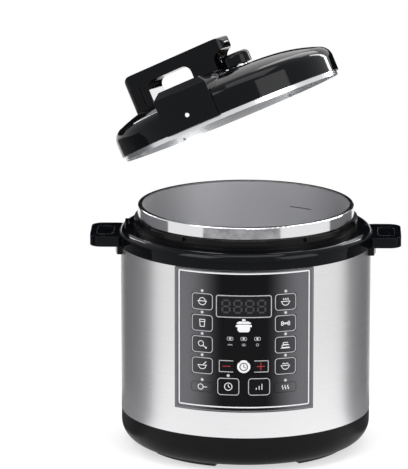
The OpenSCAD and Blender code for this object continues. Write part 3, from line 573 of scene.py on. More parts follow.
# Milky polypropylene of the cup: soft, cool grey, with a hint of the steel behind it.
MILKY_POLYPROPYLENE = ClearMoulding(
    "translucent_polypropylene", "#b9c0c5", roughness=0.34, ior=1.49, clarity=0.22)
# Die-cast aluminium of the heating plate: mid grey, mottled with oxide.
DIE_CAST_ALUMINIUM = CastMetal("die_cast_aluminium", "#a9abaf", roughness=0.42)
# Spun aluminium: fine turned rings about the cooker's upright axis, drawn coarser than a
# lathe leaves them. On the tilted inner lid they lie off its own middle.
SPUN_ALUMINIUM = BrushedSheet(
    "spun_aluminium", "#b6b8bb", roughness=0.33, grain=Grain.RINGS, line_mm=0.6)
# Drawn steel sheath of the element: dull dark grey. Its lines are drawn coarser than real.
DRAWN_STEEL = BrushedSheet("drawn_steel_sheath", "#85868a", roughness=0.4, line_mm=0.6)
# Hard-drawn spring wire: a bright glint along each turn.
SPRING_WIRE = PolishedSheet("spring_steel_wire", "#a7a8ab", roughness=0.25, wave_mm=4.0)
# Bright zinc plating of screws and posts: cool grey, slightly cloudy.
ZINC_PLATED_STEEL = PolishedSheet("zinc_plated_steel", "#9b9da1", roughness=0.3, wave_mm=3.0)
# Glazed ceramic of the fuse: creamy, with a wet shine.
GLAZED_CERAMIC = Moulding(
    "glazed_ceramic", "#dcd8cb", roughness=0.18, ior=1.52, grain_mm=2.0, depth_mm=0.01)
# Circuit board under solder mask: glossy green with paler tracks.
SOLDER_MASKED_BOARD = CircuitLaminate("solder_masked_board", "#14502a", roughness=0.3)
# Shrink-sleeved components: muted blue with a soft shine.
SLEEVED_PARTS = Moulding("sleeved_components", "#23457c", roughness=0.35, edge_mm=0.4)
# Moulded nylon of switches, connectors and knob: black with a low sheen.
MOULDED_NYLON = Moulding(
    "moulded_black_nylon", "#131315", roughness=0.42, specular=0.4, edge_mm=0.4)
# Silicone sleeving on the leads: brick red with little shine.
SILICONE_SLEEVING = Moulding("red_silicone_sleeving", "#9a2a22", roughness=0.55, ior=1.41)
# Moulded acetal of the float valve: strong red with a waxy shine.
RED_ACETAL = Moulding("red_acetal", "#a8262a", roughness=0.3, ior=1.48, edge_mm=0.3)
# Moulded silicone of the sealing ring: pale grey with a soft sheen.
MILKY_SILICONE = Moulding(
    "milky_silicone", "#c9c9c4", roughness=0.45, ior=1.41, edge_mm=0.5, grain_mm=3.0)
# Grey silicone of the float's seal: mid grey and matt.
GREY_SILICONE = Moulding("grey_silicone", "#5d5f63", roughness=0.5, ior=1.41)
# Acid-etched level marks: duller and darker than the steel round them.
ETCHED_STEEL = Finish("etched_steel_mark", "#6f7074", roughness=0.6, metallic=1.0)
# Moulded rubber of the feet: matt black under the satin base.
FOOT_RUBBER = Moulding(
    "foot_rubber", "#151515", roughness=0.75, ior=1.52, edge_mm=0.5, grain_mm=1.0,
    depth_mm=0.02)
# Grey card: matt, so that the steel turns grey where it mirrors the card.
GREY_CARD = Finish("grey_studio_card", "#707072", roughness=1.0, specular=0.0)
# Black card: keeps the flat tops of handles and collar black, where they would mirror the
# white surroundings.
BLACK_CARD = Finish("black_studio_card", "#101011", roughness=1.0, specular=0.0)


def dress(node: str, finish: Finish) -> None:
    """Give a CAD node its finish in every material slot.

    Args:
        node: name of the node.
        finish: its finish.
    """
    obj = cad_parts[node]
    material = finish.build()
    if not obj.data.materials:
        obj.data.materials.append(material)
    for i in range(len(obj.data.materials)):
        obj.data.materials[i] = material
    LOG.info("dressed %s in %s", node, finish.name)


def add_mesh(name: str, bm: bmesh.types.BMesh, finishes: list[Finish], body: str,
             smooth: bool = False) -> bpy.types.Object:
    """Turn built geometry into a piece that rides on a body.

    Args:
        name: name of the piece.
        bm: its geometry in metres, freed here.
        finishes: one for each material index.
        body: CAD body that carries it.
        smooth: shade it smooth.

    Returns:
        The new object.
    """
    bmesh.ops.recalc_face_normals(bm, faces=bm.faces[:])
    mesh = bpy.data.meshes.new(name)
    bm.to_mesh(mesh)
    bm.free()
    for finish in finishes:
        mesh.materials.append(finish.build())
    for face in mesh.polygons:
        face.use_smooth = smooth
    obj = bpy.data.objects.new(name, mesh)
    bpy.context.scene.collection.objects.link(obj)
    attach(obj, body)
    LOG.info("made %s: %d faces on %s", name, len(mesh.polygons), body)
    return obj


# ------------------------------------------------------------ drawn in the flat
# Straight stretches in a round corner.
CORNER_PARTS = 5
# Stretches of a line no longer than this have no direction, in mm.
NO_LENGTH = 1e-6
# Points no further apart than this are one point, in mm.
SAME_POINT = 1e-5
# The mitre at a sharp corner is at most one over this, in half widths.
MITRE_LEAST = 0.5


def arc(x: float, y: float, r: float, start: float, end: float, parts: int = 16) -> Outline:
    """Place points along an arc, both ends included.

    Args:
        x: its centre, in mm.
        y: the same, upwards.
        r: its radius, in mm.
        start: where it starts, in degrees from the right, anticlockwise.
        end: where it ends.
        parts: number of straight stretches.

    Returns:
        The points, in mm.
    """
    turns = [math.radians(start + (end - start) * i / parts) for i in range(parts + 1)]
    return [(x + r * math.cos(t), y + r * math.sin(t)) for t in turns]


def circle(x: float, y: float, r: float, parts: int) -> Outline:
    """Place points round a circle, without the first one again at the end.

    Args:
        x: its centre, in mm.
        y: the same, upwards.
        r: its radius, in mm.
        parts: number of straight stretches.

    Returns:
        The points, in mm.
    """
    return arc(x, y, r, 0, 360, parts)[:-1]


def rounded(w: float, h: float, r: float, x: float = 0.0, y: float = 0.0) -> Outline:
    """Outline a rectangle with round corners.

    Args:
        w: its width, in mm.
        h: its height, in mm.
        r: radius of its corners, in mm.
        x: its middle, in mm.
        y: the same, upwards.

    Returns:
        The points, in mm.
    """
    corners = ((1, 1, 0), (-1, 1, 90), (-1, -1, 180), (1, -1, 270))
    return [p for sx, sy, a in corners
            for p in arc(x + sx * (w / 2 - r), y + sy * (h / 2 - r), r, a, a + 90, CORNER_PARTS)]


def stroke(points: Outline, width: float, closed: bool = False) -> list[Outline]:
    """Follow a line with quads.

    Args:
        points: the line's points, in mm.
        width: its width, in mm.
        closed: join the last point to the first.

    Returns:
        One quad for each stretch, mitred where stretches meet.
    """
    count = len(points)
    sides = []
    for i, here in enumerate(points):
        before = points[(i - 1) % count] if closed or i else here
        after = points[(i + 1) % count] if closed or i < count - 1 else here
        ways = [Vector(b) - Vector(a) for a, b in ((before, here), (here, after))]
        ways = [way.normalized() for way in ways if way.length > NO_LENGTH]
        along = sum(ways, Vector((0, 0))).normalized()
        across = Vector((-along.y, along.x))
        square_on = abs(across.dot(Vector((-ways[0].y, ways[0].x))))
        reach = width / 2 / max(MITRE_LEAST, square_on)
        sides.append((Vector(here) + across * reach, Vector(here) - across * reach))
    quads = []
    for i in range(count if closed else count - 1):
        here, after = sides[i], sides[(i + 1) % count]
        quads.append([tuple(here[0]), tuple(after[0]), tuple(after[1]), tuple(here[1])])
    return quads


def moved(outlines: list[Outline], x: float, y: float) -> list[Outline]:
    """Shift outlines.

    Args:
        outlines: what to shift.
        x: how far to the right, in mm.
        y: how far up, in mm.

    Returns:
        The shifted outlines.
    """
    return [[(px + x, py + y) for px, py in outline] for outline in outlines]


class Pictogram(Enum):
    """What a key's printed picture shows."""

    RICE = "heaped bowl"
    CUP = "cup of soya milk"
    LEG = "meat on the bone"
    SPOON = "bowl and spoon"
    PAN = "frying pan"
    STEAM = "steaming bowl"
    BONE = "marrow bone"
    CAKE = "cake on a plate"
    PORRIDGE = "bowl of porridge"
    WARM = "rising heat"
    CLOCK = "clock face"
    LEVELS = "three levels"

    def draw(self, width: float = 0.75) -> list[Outline]:
        """Draw the picture about its middle.

        Args:
            width: width of the printed line, in mm.

        Returns:
            Its quads, in mm.
        """
        bowl = [arc(0, 0.6, 4.2, 180, 360), [(-5.2, 0.6), (5.2, 0.6)]]
        steam = [[(x, 1.9), (x + 0.6, 2.7), (x - 0.3, 3.5), (x + 0.3, 4.3)]
                 for x in (-2.4, 0, 2.4)]
        lines = {
            Pictogram.RICE: [*bowl, arc(0, 0.9, 3.3, 0, 180)],
            Pictogram.CUP: [
                [(-3, 3.8), (-2.3, -3.8), (2.3, -3.8), (3, 3.8), (-3, 3.8)],
                [(-2.8, 1.4), (2.8, 1.4)]],
            Pictogram.LEG: [
                arc(-1.4, 0.8, 2.9, 0, 360), [(0.8, -1.2), (3.6, -3.2)],
                arc(4.2, -3.6, 0.7, 0, 360, 8)],
            Pictogram.SPOON: [*bowl, [(1.2, 1.4), (4.6, 4.6)]],
            Pictogram.PAN: [arc(-1.8, 0, 2.9, 0, 360), [(1.3, 0), (5.6, 0)]],
            Pictogram.STEAM: [*bowl, *steam],
            Pictogram.BONE: [
                [(-2.6, 0.5), (2.6, 0.5)], [(-2.6, -0.5), (2.6, -0.5)],
                *[arc(x, y, 1.1, 0, 360, 10) for x in (-3.6, 3.6) for y in (-1, 1)]],
            Pictogram.CAKE: [
                rounded(7.6, 2.6, 0.6, 0, -1.6), rounded(5.2, 2.2, 0.6, 0, 1.3),
                [(-5.2, -3.6), (5.2, -3.6)]],
            Pictogram.PORRIDGE: [
                *bowl, arc(-1.8, 1.6, 1.5, 20, 160, 8), arc(1.8, 1.6, 1.5, 20, 160, 8)],
            Pictogram.WARM: [
                [(x, -2.4), (x + 0.8, -0.8), (x - 0.8, 0.8), (x, 2.4)] for x in (-3, 0, 3)],
            Pictogram.CLOCK: [arc(0, 0, 4.0, 0, 360, 24), [(0, 2.4), (0, 0), (1.9, -1.1)]],
            Pictogram.LEVELS: [
                [(x, -3.2), (x, top)] for x, top in ((-3, -1), (0, 1), (3, 3.2))],
        }[self]
        return [quad for line in lines for quad in stroke(line, width)]


@dataclass(frozen=True)
class PrintedBox:
    """Printed outline with round corners.

    Attributes:
        w: width, in mm.
        h: height, in mm.
        corner: radius of its corners, in mm.
        drop: how far its middle lies below the panel's top edge, in mm.
        line: width of the printed line, in mm.
    """

    w: float
    h: float
    corner: float
    drop: float
    line: float

    def draw(self, top: float, x: float = 0) -> list[Outline]:
        """Draw the outline.

        Args:
            top: height of the panel's top edge, in mm.
            x: place of its middle along the panel's curve, in mm.

        Returns:
            Its quads, in mm.
        """
        return stroke(rounded(self.w, self.h, self.corner, x, top - self.drop), self.line, True)


@dataclass
class CurvedPrint:
    """Ink on an upright cylinder about the cooker's axis.

    Attributes:
        radius: radius of the printed face, in mm.
        developed: radius at which arc lengths are measured, in mm.
        lift: height of the ink over the face, in mm.
        layer_lift: how much higher each later layer stands, as a share of the lift.
        facet: longest run round the curve without a bend, in mm.
        apart: distance between layers while they are still flat, in mm.
    """

    radius: float
    developed: float = 137.2
    lift: float = 0.1
    layer_lift: float = 0.6
    facet: float = 1.6
    apart: float = 1e4

    def lay(self, name: str, layers: list[tuple[list[Outline], Finish]],
            body: str) -> bpy.types.Object:
        """Print outlines, each layer in its own ink.

        Args:
            name: name of the piece.
            layers: outlines, as distance round the curve and height in mm, with their ink.
            body: CAD body that carries the print.

        Returns:
            The printed piece.
        """
        bm = bmesh.new()
        for index, (outlines, _) in enumerate(layers):
            for outline in outlines:
                corners = [p for i, p in enumerate(outline)
                           if (Vector(p) - Vector(outline[i - 1])).length > SAME_POINT]
                face = bm.faces.new([bm.verts.new((x, 0, z + index * self.apart))
                                     for x, z in corners])
                face.material_index = index
        bmesh.ops.triangulate(bm, faces=[f for f in bm.faces if len(f.verts) > 4])
        low = min(v.co.x for v in bm.verts)
        high = max(v.co.x for v in bm.verts)
        for i in range(1, int((high - low) / self.facet) + 1):
            bmesh.ops.bisect_plane(
                bm, geom=bm.verts[:] + bm.edges[:] + bm.faces[:], dist=SAME_POINT,
                plane_co=(low + i * self.facet, 0, 0), plane_no=(1, 0, 0))
        for vert in bm.verts:
            layer = round(vert.co.z / self.apart)
            turn = vert.co.x / self.developed
            reach = (self.radius + self.lift * (1 + self.layer_lift * layer)) * MM
            height = (vert.co.z - layer * self.apart) * MM
            vert.co = (reach * math.sin(turn), -reach * math.cos(turn), height)
        bmesh.ops.recalc_face_normals(bm, faces=bm.faces[:])
        return add_mesh(name, bm, [ink for _, ink in layers], body)


# ---------------------------------------------------------------- sub-assemblies
class SubAssembly:
    """Pieces of the cooker that are dressed and built together."""

    def dress(self) -> None:
        """Give the CAD nodes their finishes."""
        raise NotImplementedError

    def build(self) -> None:
        """Make the pieces that the CAD doesn't hold, where there are any."""


@dataclass
class ShellAndBase(SubAssembly):
    """Steel sleeve, base, feet and collar."""

    def dress(self) -> None:
        """Give each CAD node of the housing its finish."""
        for node, finish in {
            "base_housing": SATIN_POLYPROPYLENE,
            "feet": FOOT_RUBBER,
            "steel_body": BELT_GROUND_STAINLESS,
            "collar": GLOSS_ABS,
            "handle_covers": SATIN_POLYPROPYLENE,
            "base_screws": ZINC_PLATED_STEEL,
            "tie_posts": ZINC_PLATED_STEEL,
            "post_screws": ZINC_PLATED_STEEL,
            "condensate_cup": MILKY_POLYPROPYLENE,
        }.items():
            dress(node, finish)


@dataclass
class PotsAndHeater(SubAssembly):
    """Outer pot, inner pot, heating plate and what stands under them.

    Attributes:
        bore: radius of the inner pot's bore, in mm.
        floor: height of the inner pot's inside floor, in mm.
        marks: heights of the level marks over the floor, in mm.
        mark_turn: where the marks' middle lies, in degrees from the right, anticlockwise.
        mark_span: length of a mark round the bore, in degrees.
        top_mark_span: the same for the highest mark.
        mark_line: height of a mark's line, in mm.
        mark_proud: how far a mark stands in front of the wall, in mm.
        mark_parts: number of quads in a mark.
        coil: radius of the sensor's spring to the middle of its wire, in mm.
        wire: radius of the spring's wire, in mm.
        wire_sides: number of sides of the wire.
        turns: number of the spring's turns.
        turn_steps: number of steps in a turn.
        press: travel of the sensor, in mm; not used.
    """

    bore: float = 112.0
    floor: float = 107.0
    marks: tuple[float, ...] = (30.0, 54.0, 78.0, 105.0, 130.0)
    mark_turn: float = 58
    mark_span: float = 8
    top_mark_span: float = 14
    mark_line: float = 1.0
    mark_proud: float = 0.08
    mark_parts: int = 8
    coil: float = 7.0
    wire: float = 0.7
    wire_sides: int = 12
    turns: int = 4
    turn_steps: int = 32
    press: float = 3.0

    def dress(self) -> None:
        """Give each CAD node of the pots and heater its finish."""
        for node, finish in {
            "outer_pot": BAKED_COAT,
            "inner_pot": BUFFED_POT,
            "heating_plate": DIE_CAST_ALUMINIUM,
            "heating_element": DRAWN_STEEL,
            "temperature_sensor": SPUN_ALUMINIUM,
            "sensor_spring": SPRING_WIRE,
            "sensor_bracket": ZINC_PLATED_STEEL,
            "thermal_fuse": GLAZED_CERAMIC,
            "pressure_switch": MOULDED_NYLON,
        }.items():
            dress(node, finish)

    def build(self) -> None:
        """Make the level marks and the spring."""
        self.etch_marks()
        self.wind_spring()

    def wind_spring(self) -> None:
        """Wind the sensor's spring.

        It fills the height of the CAD spring that it stands in for, and keeps its foot where it
        stands.
        """
        low, high = (corner[2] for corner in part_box("sensor_spring"))
        steps = self.turns * self.turn_steps
        bm = bmesh.new()
        rings = []
        for i in range(steps + 1):
            turn = math.tau * self.turns * i / steps
            rise = low + self.wire * MM + (high - low - 2 * self.wire * MM) * i / steps
            ring = []
            for k in range(self.wire_sides):
                around = math.tau * k / self.wire_sides
                reach = (self.coil + self.wire * math.cos(around)) * MM
                ring.append(bm.verts.new((reach * math.cos(turn), reach * math.sin(turn),
                                          rise + self.wire * MM * math.sin(around))))
            rings.append(ring)
        for here, after in zip(rings, rings[1:]):
            for k in range(self.wire_sides):
                beside = (k + 1) % self.wire_sides
                bm.faces.new((here[k], after[k], after[beside], here[beside]))
        bm.faces.new(rings[0])
        bm.faces.new(rings[-1])
        spring = add_mesh("sensor_spring_coil", bm, [SPRING_WIRE], "base", smooth=True)
        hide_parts("sensor_spring")
        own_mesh(spring)

    def etch_marks(self) -> None:
        """Etch the level marks inside the inner pot, at its back right."""
        bm = bmesh.new()
        reach = (self.bore - self.mark_proud) * MM
        half = self.mark_line / 2
        for i, height in enumerate(self.marks):
            span = self.top_mark_span if i == len(self.marks) - 1 else self.mark_span
            turns = [math.radians(self.mark_turn + span * (k / self.mark_parts - 0.5))
                     for k in range(self.mark_parts + 1)]
            rows = [[bm.verts.new((reach * math.cos(t), reach * math.sin(t),
                                   (self.floor + height + dz) * MM)) for t in turns]
                    for dz in (-half, half)]
            for k in range(self.mark_parts):
                bm.faces.new((rows[0][k], rows[0][k + 1], rows[1][k + 1], rows[1][k]))
        add_mesh("pot_level_marks", bm, [ETCHED_STEEL], "pot")


@dataclass
class KeyFace:
    """One key of the panel.

    Attributes:
        node: CAD node and body of the key.
        x: place along the panel's curve, in mm.
        z: height, in mm.
        w: width, in mm.
        h: height of the cap, in mm.
        picture: what its print shows.
        framed: whether an outline is printed round it.
    """

    node: str
    x: float
    z: float
    w: float
    h: float
    picture: Pictogram
    framed: bool = True


@dataclass
class PanelFace(SubAssembly):
    """Printed front panel, its window, lamps and keys.

    Attributes:
        face: radius of the panel's face, in mm.
        key_sunk: how far a key's face lies behind the panel's, in mm.
        window_sunk: the same for the window.
        top: height of the panel's top edge, in mm; every drop is measured down from it.
        line: width of a printed outline, in mm.
        border: white line round the panel.
        edge: grey line along the panel's outer edge, a painted highlight for the film's bevel.
        window: line round the display's window.
        middle_lamp: line round each of the middle lamps.
        column_x: distance of each column of keys from the middle, in mm.
        first_drop: drop to the middle of the columns' first keys, in mm.
        row_pitch: distance between rows, in mm.
        key_w: width of a key, in mm.
        key_h: height of a key in the columns, in mm.
        last_key_h: the same for the lowest ones.
        low_x: distance of the two low keys from the middle, in mm.
        low_drop: drop to the middle of the low keys, in mm.
        low_h: height of the low keys, in mm.
        key_inset: how much smaller than its key an outline is, in mm.
        key_corner: radius of that outline's corners, in mm.
        sign_x: distance of the minus and the plus from the middle, in mm.
        sign_drop: drop to their middle, in mm.
        sign_line: width of the signs' lines, in mm.
        digits_x: places of the display's digits, in mm.
        segment_w: width of a digit's segment, in mm.
        lamp_x: distance of the outer two of the middle lamps from the third, in mm.
        keys: the keys that carry a picture.
    """

    face: float = 137.2
    key_sunk: float = 0.25
    window_sunk: float = 0.2
    top: float = 221.7
    line: float = 0.85
    border: PrintedBox = PrintedBox(143.8, 145.6, 1.2, drop=75.4, line=1.35)
    edge: PrintedBox = PrintedBox(152.2, 151.0, 1.0, drop=76.9, line=1.1)
    window: PrintedBox = PrintedBox(58.4, 23.4, 2.2, drop=38.0, line=1.0)
    middle_lamp: PrintedBox = PrintedBox(6.2, 3.4, 1.2, drop=73, line=0.55)
    column_x: float = 44.9
    first_drop: float = 34.3
    row_pitch: float = 23.3
    key_w: float = 23.8
    key_h: float = 18.4
    last_key_h: float = 10.4
    low_x: float = 16.4
    low_drop: float = 125.6
    low_h: float = 19.2
    key_inset: float = 1.2
    key_corner: float = 3.2
    sign_x: float = 18.2
    sign_drop: float = 103.3
    sign_line: float = 0.8
    digits_x: tuple[float, ...] = (-18.9, -6.3, 6.3, 18.9)
    segment_w: float = 2.0
    lamp_x: float = 14.5
    keys: list[KeyFace] = field(default_factory=list)

    def __post_init__(self) -> None:
        """List the keys that carry a picture: two columns of five, and the two low ones."""
        left = (Pictogram.RICE, Pictogram.CUP, Pictogram.LEG, Pictogram.SPOON, Pictogram.PAN)
        right = (Pictogram.STEAM, Pictogram.BONE, Pictogram.CAKE, Pictogram.PORRIDGE,
                 Pictogram.WARM)
        for side, x, pictures in (("left", -self.column_x, left), ("right", self.column_x, right)):
            for row, picture in enumerate(pictures):
                last = row == len(pictures) - 1
                self.keys.append(KeyFace(
                    f"key_{side}_{row + 1}", x, self.top - self.first_drop - row * self.row_pitch,
                    self.key_w, self.last_key_h if last else self.key_h, picture, not last))
        for side, x, picture in (("left", -self.low_x, Pictogram.CLOCK),
                                 ("right", self.low_x, Pictogram.LEVELS)):
            self.keys.append(KeyFace(f"key_low_{side}", x, self.top - self.low_drop, self.key_w,
                                     self.low_h, picture))

    def dress(self) -> None:
        """Give the panel's CAD nodes their finishes."""
        # Panel and key films both carry a painted reflection towards the panel's sides.
        dress("control_panel", PANEL_FILM)
        dress("display_window", SMOKED_ACRYLIC)
        dress("lamp_lenses", MILKY_ACRYLIC)
        for key in self.keys:
            dress(key.node, KEY_FILM if key.framed else PANEL_FILM)
        for node in ("key_minus", "key_plus"):
            dress(node, KEY_FILM)

    def build(self) -> None:
        """Print the border, outlines, pictures, signs and display."""
        on_panel = CurvedPrint(self.face)
        on_key = CurvedPrint(self.face - self.key_sunk)
        on_panel.lay("panel_border", [(self.border.draw(self.top), WHITE_INK)], "base")
        # The grey edge line is a painted highlight for the film's bevel.
        on_panel.lay("panel_edge_painted_highlight", [(self.edge.draw(self.top), BEVEL_PAINTED_HIGHLIGHT)], "base")
        for key in self.keys:
            layers = [(moved(key.picture.draw(), key.x, key.z), WHITE_INK)]
            if key.framed:
                outline = rounded(key.w - self.key_inset, key.h - self.key_inset,
                                  self.key_corner, key.x, key.z)
                layers.append((stroke(outline, self.line, True), LIGHT_GREY_INK))
            on_key.lay(f"print_{key.node}", layers, key.node)
        self.print_signs(on_key)
        self.print_clock(on_panel)
        self.print_display(on_panel)
        self.print_lamps(on_panel)
        self.print_pot(on_panel)

    def print_signs(self, on_key: CurvedPrint) -> None:
        """Print the minus and plus, each in a box that is open towards the clock.

        Args:
            on_key: print on the keys' faces.
        """
        z = self.top - self.sign_drop
        arm, gap = 4.4, 0.4
        inner, outer, half_h = 7.0, 7.9, 6.1
        for node, side in (("key_minus", -1), ("key_plus", 1)):
            x = side * self.sign_x
            sign = stroke([(x - arm, z), (x + arm, z)], self.sign_line)
            if side > 0:
                sign += stroke([(x, z - arm), (x, z - gap)], self.sign_line)
                sign += stroke([(x, z + gap), (x, z + arm)], self.sign_line)
            box = [(x - side * inner, z + half_h), (x + side * outer, z + half_h),
                   (x + side * outer, z - half_h), (x - side * inner, z - half_h)]
            layers = [(sign, RED_INK), (stroke(box, self.line), LIGHT_GREY_INK)]
            on_key.lay(f"print_{node}", layers, node)

    def print_clock(self, on_panel: CurvedPrint) -> None:
        """Print the alarm clock on its disc, between the minus and the plus.

        Args:
            on_panel: print on the panel's face.
        """
        z = self.top - self.sign_drop
        disc = [circle(0, z, 7.0, 40)]
        clock = stroke(circle(0, z - 0.3, 4.0, 28), 1.0, True)
        clock += stroke([(0, z + 2.3), (0, z - 0.3), (1.9, z - 1.5)], 0.8)
        for side, start in ((-1, 90), (1, 0)):
            clock += stroke(arc(side * 3.6, z + 4.0, 1.6, start, start + 90, 5), 0.9)
        on_panel.lay("clock_disc", [(disc, WHITE_INK), (clock, DARK_INK)], "base")

    def print_display(self, on_panel: CurvedPrint) -> None:
        """Print the window's outline and the four unlit digits behind it.

        Args:
            on_panel: print on the panel's face.
        """
        z = self.top - self.window.drop
        on_panel.lay("display_outline", [(self.window.draw(self.top), LIGHT_GREY_INK)], "base")
        half_w, half_h = 3.9, 6.6
        side_gap, end_gap = 1.1, 1.0
        segments: list[Outline] = []
        for x in self.digits_x:
            for y in (-half_h, 0, half_h):
                segments += stroke([(x - half_w + side_gap, z + y),
                                    (x + half_w - side_gap, z + y)], self.segment_w)
            for side in (-half_w, half_w):
                for low in (-half_h, 0):
                    segments += stroke([(x + side, z + low + end_gap),
                                        (x + side, z + low + half_h - end_gap)], self.segment_w)
        on_window = CurvedPrint(self.face - self.window_sunk)
        on_window.lay("display_digits", [(segments, UNLIT_SEGMENT)], "base")

    def print_lamps(self, on_panel: CurvedPrint) -> None:
        """Print a surround at each lamp, and small pictures under the middle three.

        Args:
            on_panel: print on the panel's face.
        """
        over_key, radius, ring_line = 2.6, 1.45, 0.5
        lines: list[Outline] = []
        for key in self.keys:
            if key.node != "key_low_right":
                ring = circle(key.x, key.z + key.h / 2 + over_key, radius, 14)
                lines += stroke(ring, ring_line, True)
        for x in (-self.lamp_x, 0, self.lamp_x):
            lines += self.middle_lamp.draw(self.top, x)
        z, thin = self.top - 79.6, 0.45
        lines += stroke([(-16.9, z - 0.9), (-16.1, z + 0.5), (-15.3, z - 0.5), (-14.5, z + 0.9),
                         (-13.7, z - 0.5), (-12.9, z + 0.5), (-12.1, z - 0.9)], thin)
        lines += stroke([(-2.4, z), (2.4, z)], thin)
        lines += stroke([(-1.5, z - 1.1), (1.5, z - 1.1)], thin)
        lines += stroke([(-1.5, z + 1.1), (1.5, z + 1.1)], thin)
        lines += stroke(circle(self.lamp_x, z, 1.3, 12), thin, True)
        on_panel.lay("lamp_surrounds", [(lines, LIGHT_GREY_INK)], "base")

    def print_pot(self, on_panel: CurvedPrint) -> None:
        """Print the picture of a pot under the display.

        Args:
            on_panel: print on the panel's face.
        """
        z = self.top - 58.8
        wall = [(-6.6, z + 1.5), (6.6, z + 1.5), (6.6, z - 4.0), (5.9, z - 5.8),
                (4.6, z - 6.9), (-4.6, z - 6.9), (-5.9, z - 5.8), (-6.6, z - 4.0)]
        lid = [(-7.6, z + 2.2), (7.6, z + 2.2), (7.3, z + 3.6), (4.6, z + 4.8),
               (-4.6, z + 4.8), (-7.3, z + 3.6)]
        knob = rounded(3.7, 2.0, 0.7, 0, z + 6.3)
        ears = [rounded(1.8, 2.4, 0.5, side * 7.5, z - 0.2) for side in (-1, 1)]
        on_panel.lay("pot_picture", [([wall, lid, knob, *ears], WHITE_INK)], "base")


@dataclass
class Electrics(SubAssembly):
    """Boards, switches and leads inside the base and behind the panel."""

    def dress(self) -> None:
        """Give each CAD node of the electrics its finish."""
        for node, finish in {
            "display_module": MOULDED_NYLON,
            "control_board": SOLDER_MASKED_BOARD,
            "tact_switches": MOULDED_NYLON,
            "board_screws": ZINC_PLATED_STEEL,
            "power_board": SOLDER_MASKED_BOARD,
            "power_parts": SLEEVED_PARTS,
            "power_inlet": MOULDED_NYLON,
            "wiring": SILICONE_SLEEVING,
        }.items():
            dress(node, finish)


@dataclass
class Lid(SubAssembly):
    """Black cover, steel shell, handle, valves and seal of the lid."""

    def dress(self) -> None:
        """Give each CAD node of the lid its finish."""
        for node, finish in {
            "lid_cover": GLOSS_ABS,
            "lid_mark": WHITE_INK,
            "steel_lid": PRESSED_STAINLESS,
            "lid_handle": GLOSS_ABS,
            "handle_screws": ZINC_PLATED_STEEL,
            "exhaust_knob": GLOSS_ABS,
            "exhaust_pipe": BUFFED_STAINLESS,
            "pipe_nut": ZINC_PLATED_STEEL,
            "screen_cap": BUFFED_STAINLESS,
            "float_valve": RED_ACETAL,
            "float_seal": GREY_SILICONE,
            "centre_post": ZINC_PLATED_STEEL,
            "centre_knob": MOULDED_NYLON,
            "inner_lid": SPUN_ALUMINIUM,
            "sealing_ring": MILKY_SILICONE,
        }.items():
            dress(node, finish)


# ----------------------------------------------------------------------- studio
def stand(obj: bpy.types.Object, azimuth: float, elevation: float, reach: float,
          aim: Vector) -> None:
    """Stand a lamp or the camera round the cooker, and point it.

    Args:
        obj: what to stand.
        azimuth: direction from the front, positive to the right, in degrees.
        elevation: height of that direction above level, in degrees.
        reach: distance from the aim, in metres.
        aim: point that it faces.
    """
    bpy.context.scene.collection.objects.link(obj)
    a, e = math.radians(azimuth), math.radians(elevation)
    way = Vector((math.sin(a) * math.cos(e), -math.cos(a) * math.cos(e), math.sin(e)))
    obj.location = aim + way * reach
    obj.rotation_mode = "QUATERNION"
    obj.rotation_quaternion = way.to_track_quat("Z", "Y")


@dataclass
class Softbox:
    """One rectangular studio lamp aimed at the cooker.

    Attributes:
        name: name of the lamp.
        azimuth: direction it stands in, from the front, positive to the right, in degrees.
        elevation: height of that direction above level, in degrees.
        reach: distance from the aim, in metres.
        size: width and height, in metres.
        power: light output, in watts.
    """

    name: str
    azimuth: float
    elevation: float
    reach: float
    size: tuple[float, float]
    power: float

    def place(self, aim: Vector) -> None:
        """Stand the lamp and point it.

        Args:
            aim: point that it faces.
        """
        lamp = bpy.data.lights.new(self.name, "AREA")
        lamp.shape = "RECTANGLE"
        lamp.size, lamp.size_y = self.size
        lamp.energy = self.power
        obj = bpy.data.objects.new(self.name, lamp)
        stand(obj, self.azimuth, self.elevation, self.reach, aim)


@dataclass
class DarkCard:
    """Grey or black card, curved round the cooker, that only reflections show.

    Attributes:
        name: name of the card.
        start: azimuth of one edge, from the front, positive to the right, in degrees.
        end: azimuth of the other edge, in degrees.
        profile: distance from the axis and height along the card, in metres.
        finish: its paper.
        parts: number of flat strips that make its curve.
    """

    name: str
    start: float
    end: float
    profile: list[Point]
    finish: Finish = GREY_CARD
    parts: int = 24

    def place(self) -> None:
        """Bend the card round the axis and hide it from all but glossy rays."""
        bm = bmesh.new()
        turns = [math.radians(self.start + (self.end - self.start) * i / self.parts)
                 for i in range(self.parts + 1)]
        rows = [[bm.verts.new((reach * math.sin(t), -reach * math.cos(t), z)) for t in turns]
                for reach, z in self.profile]
        for low, high in zip(rows, rows[1:]):
            for i in range(self.parts):
                bm.faces.new((low[i], low[i + 1], high[i + 1], high[i]))
        mesh = bpy.data.meshes.new(self.name)
        bm.to_mesh(mesh)
        bm.free()
        obj = bpy.data.objects.new(self.name, mesh)
        bpy.context.scene.collection.objects.link(obj)
        mesh.materials.append(self.finish.build())
        for sight in ("camera", "diffuse", "transmission", "volume_scatter", "shadow"):
            setattr(obj, f"visible_{sight}", False)


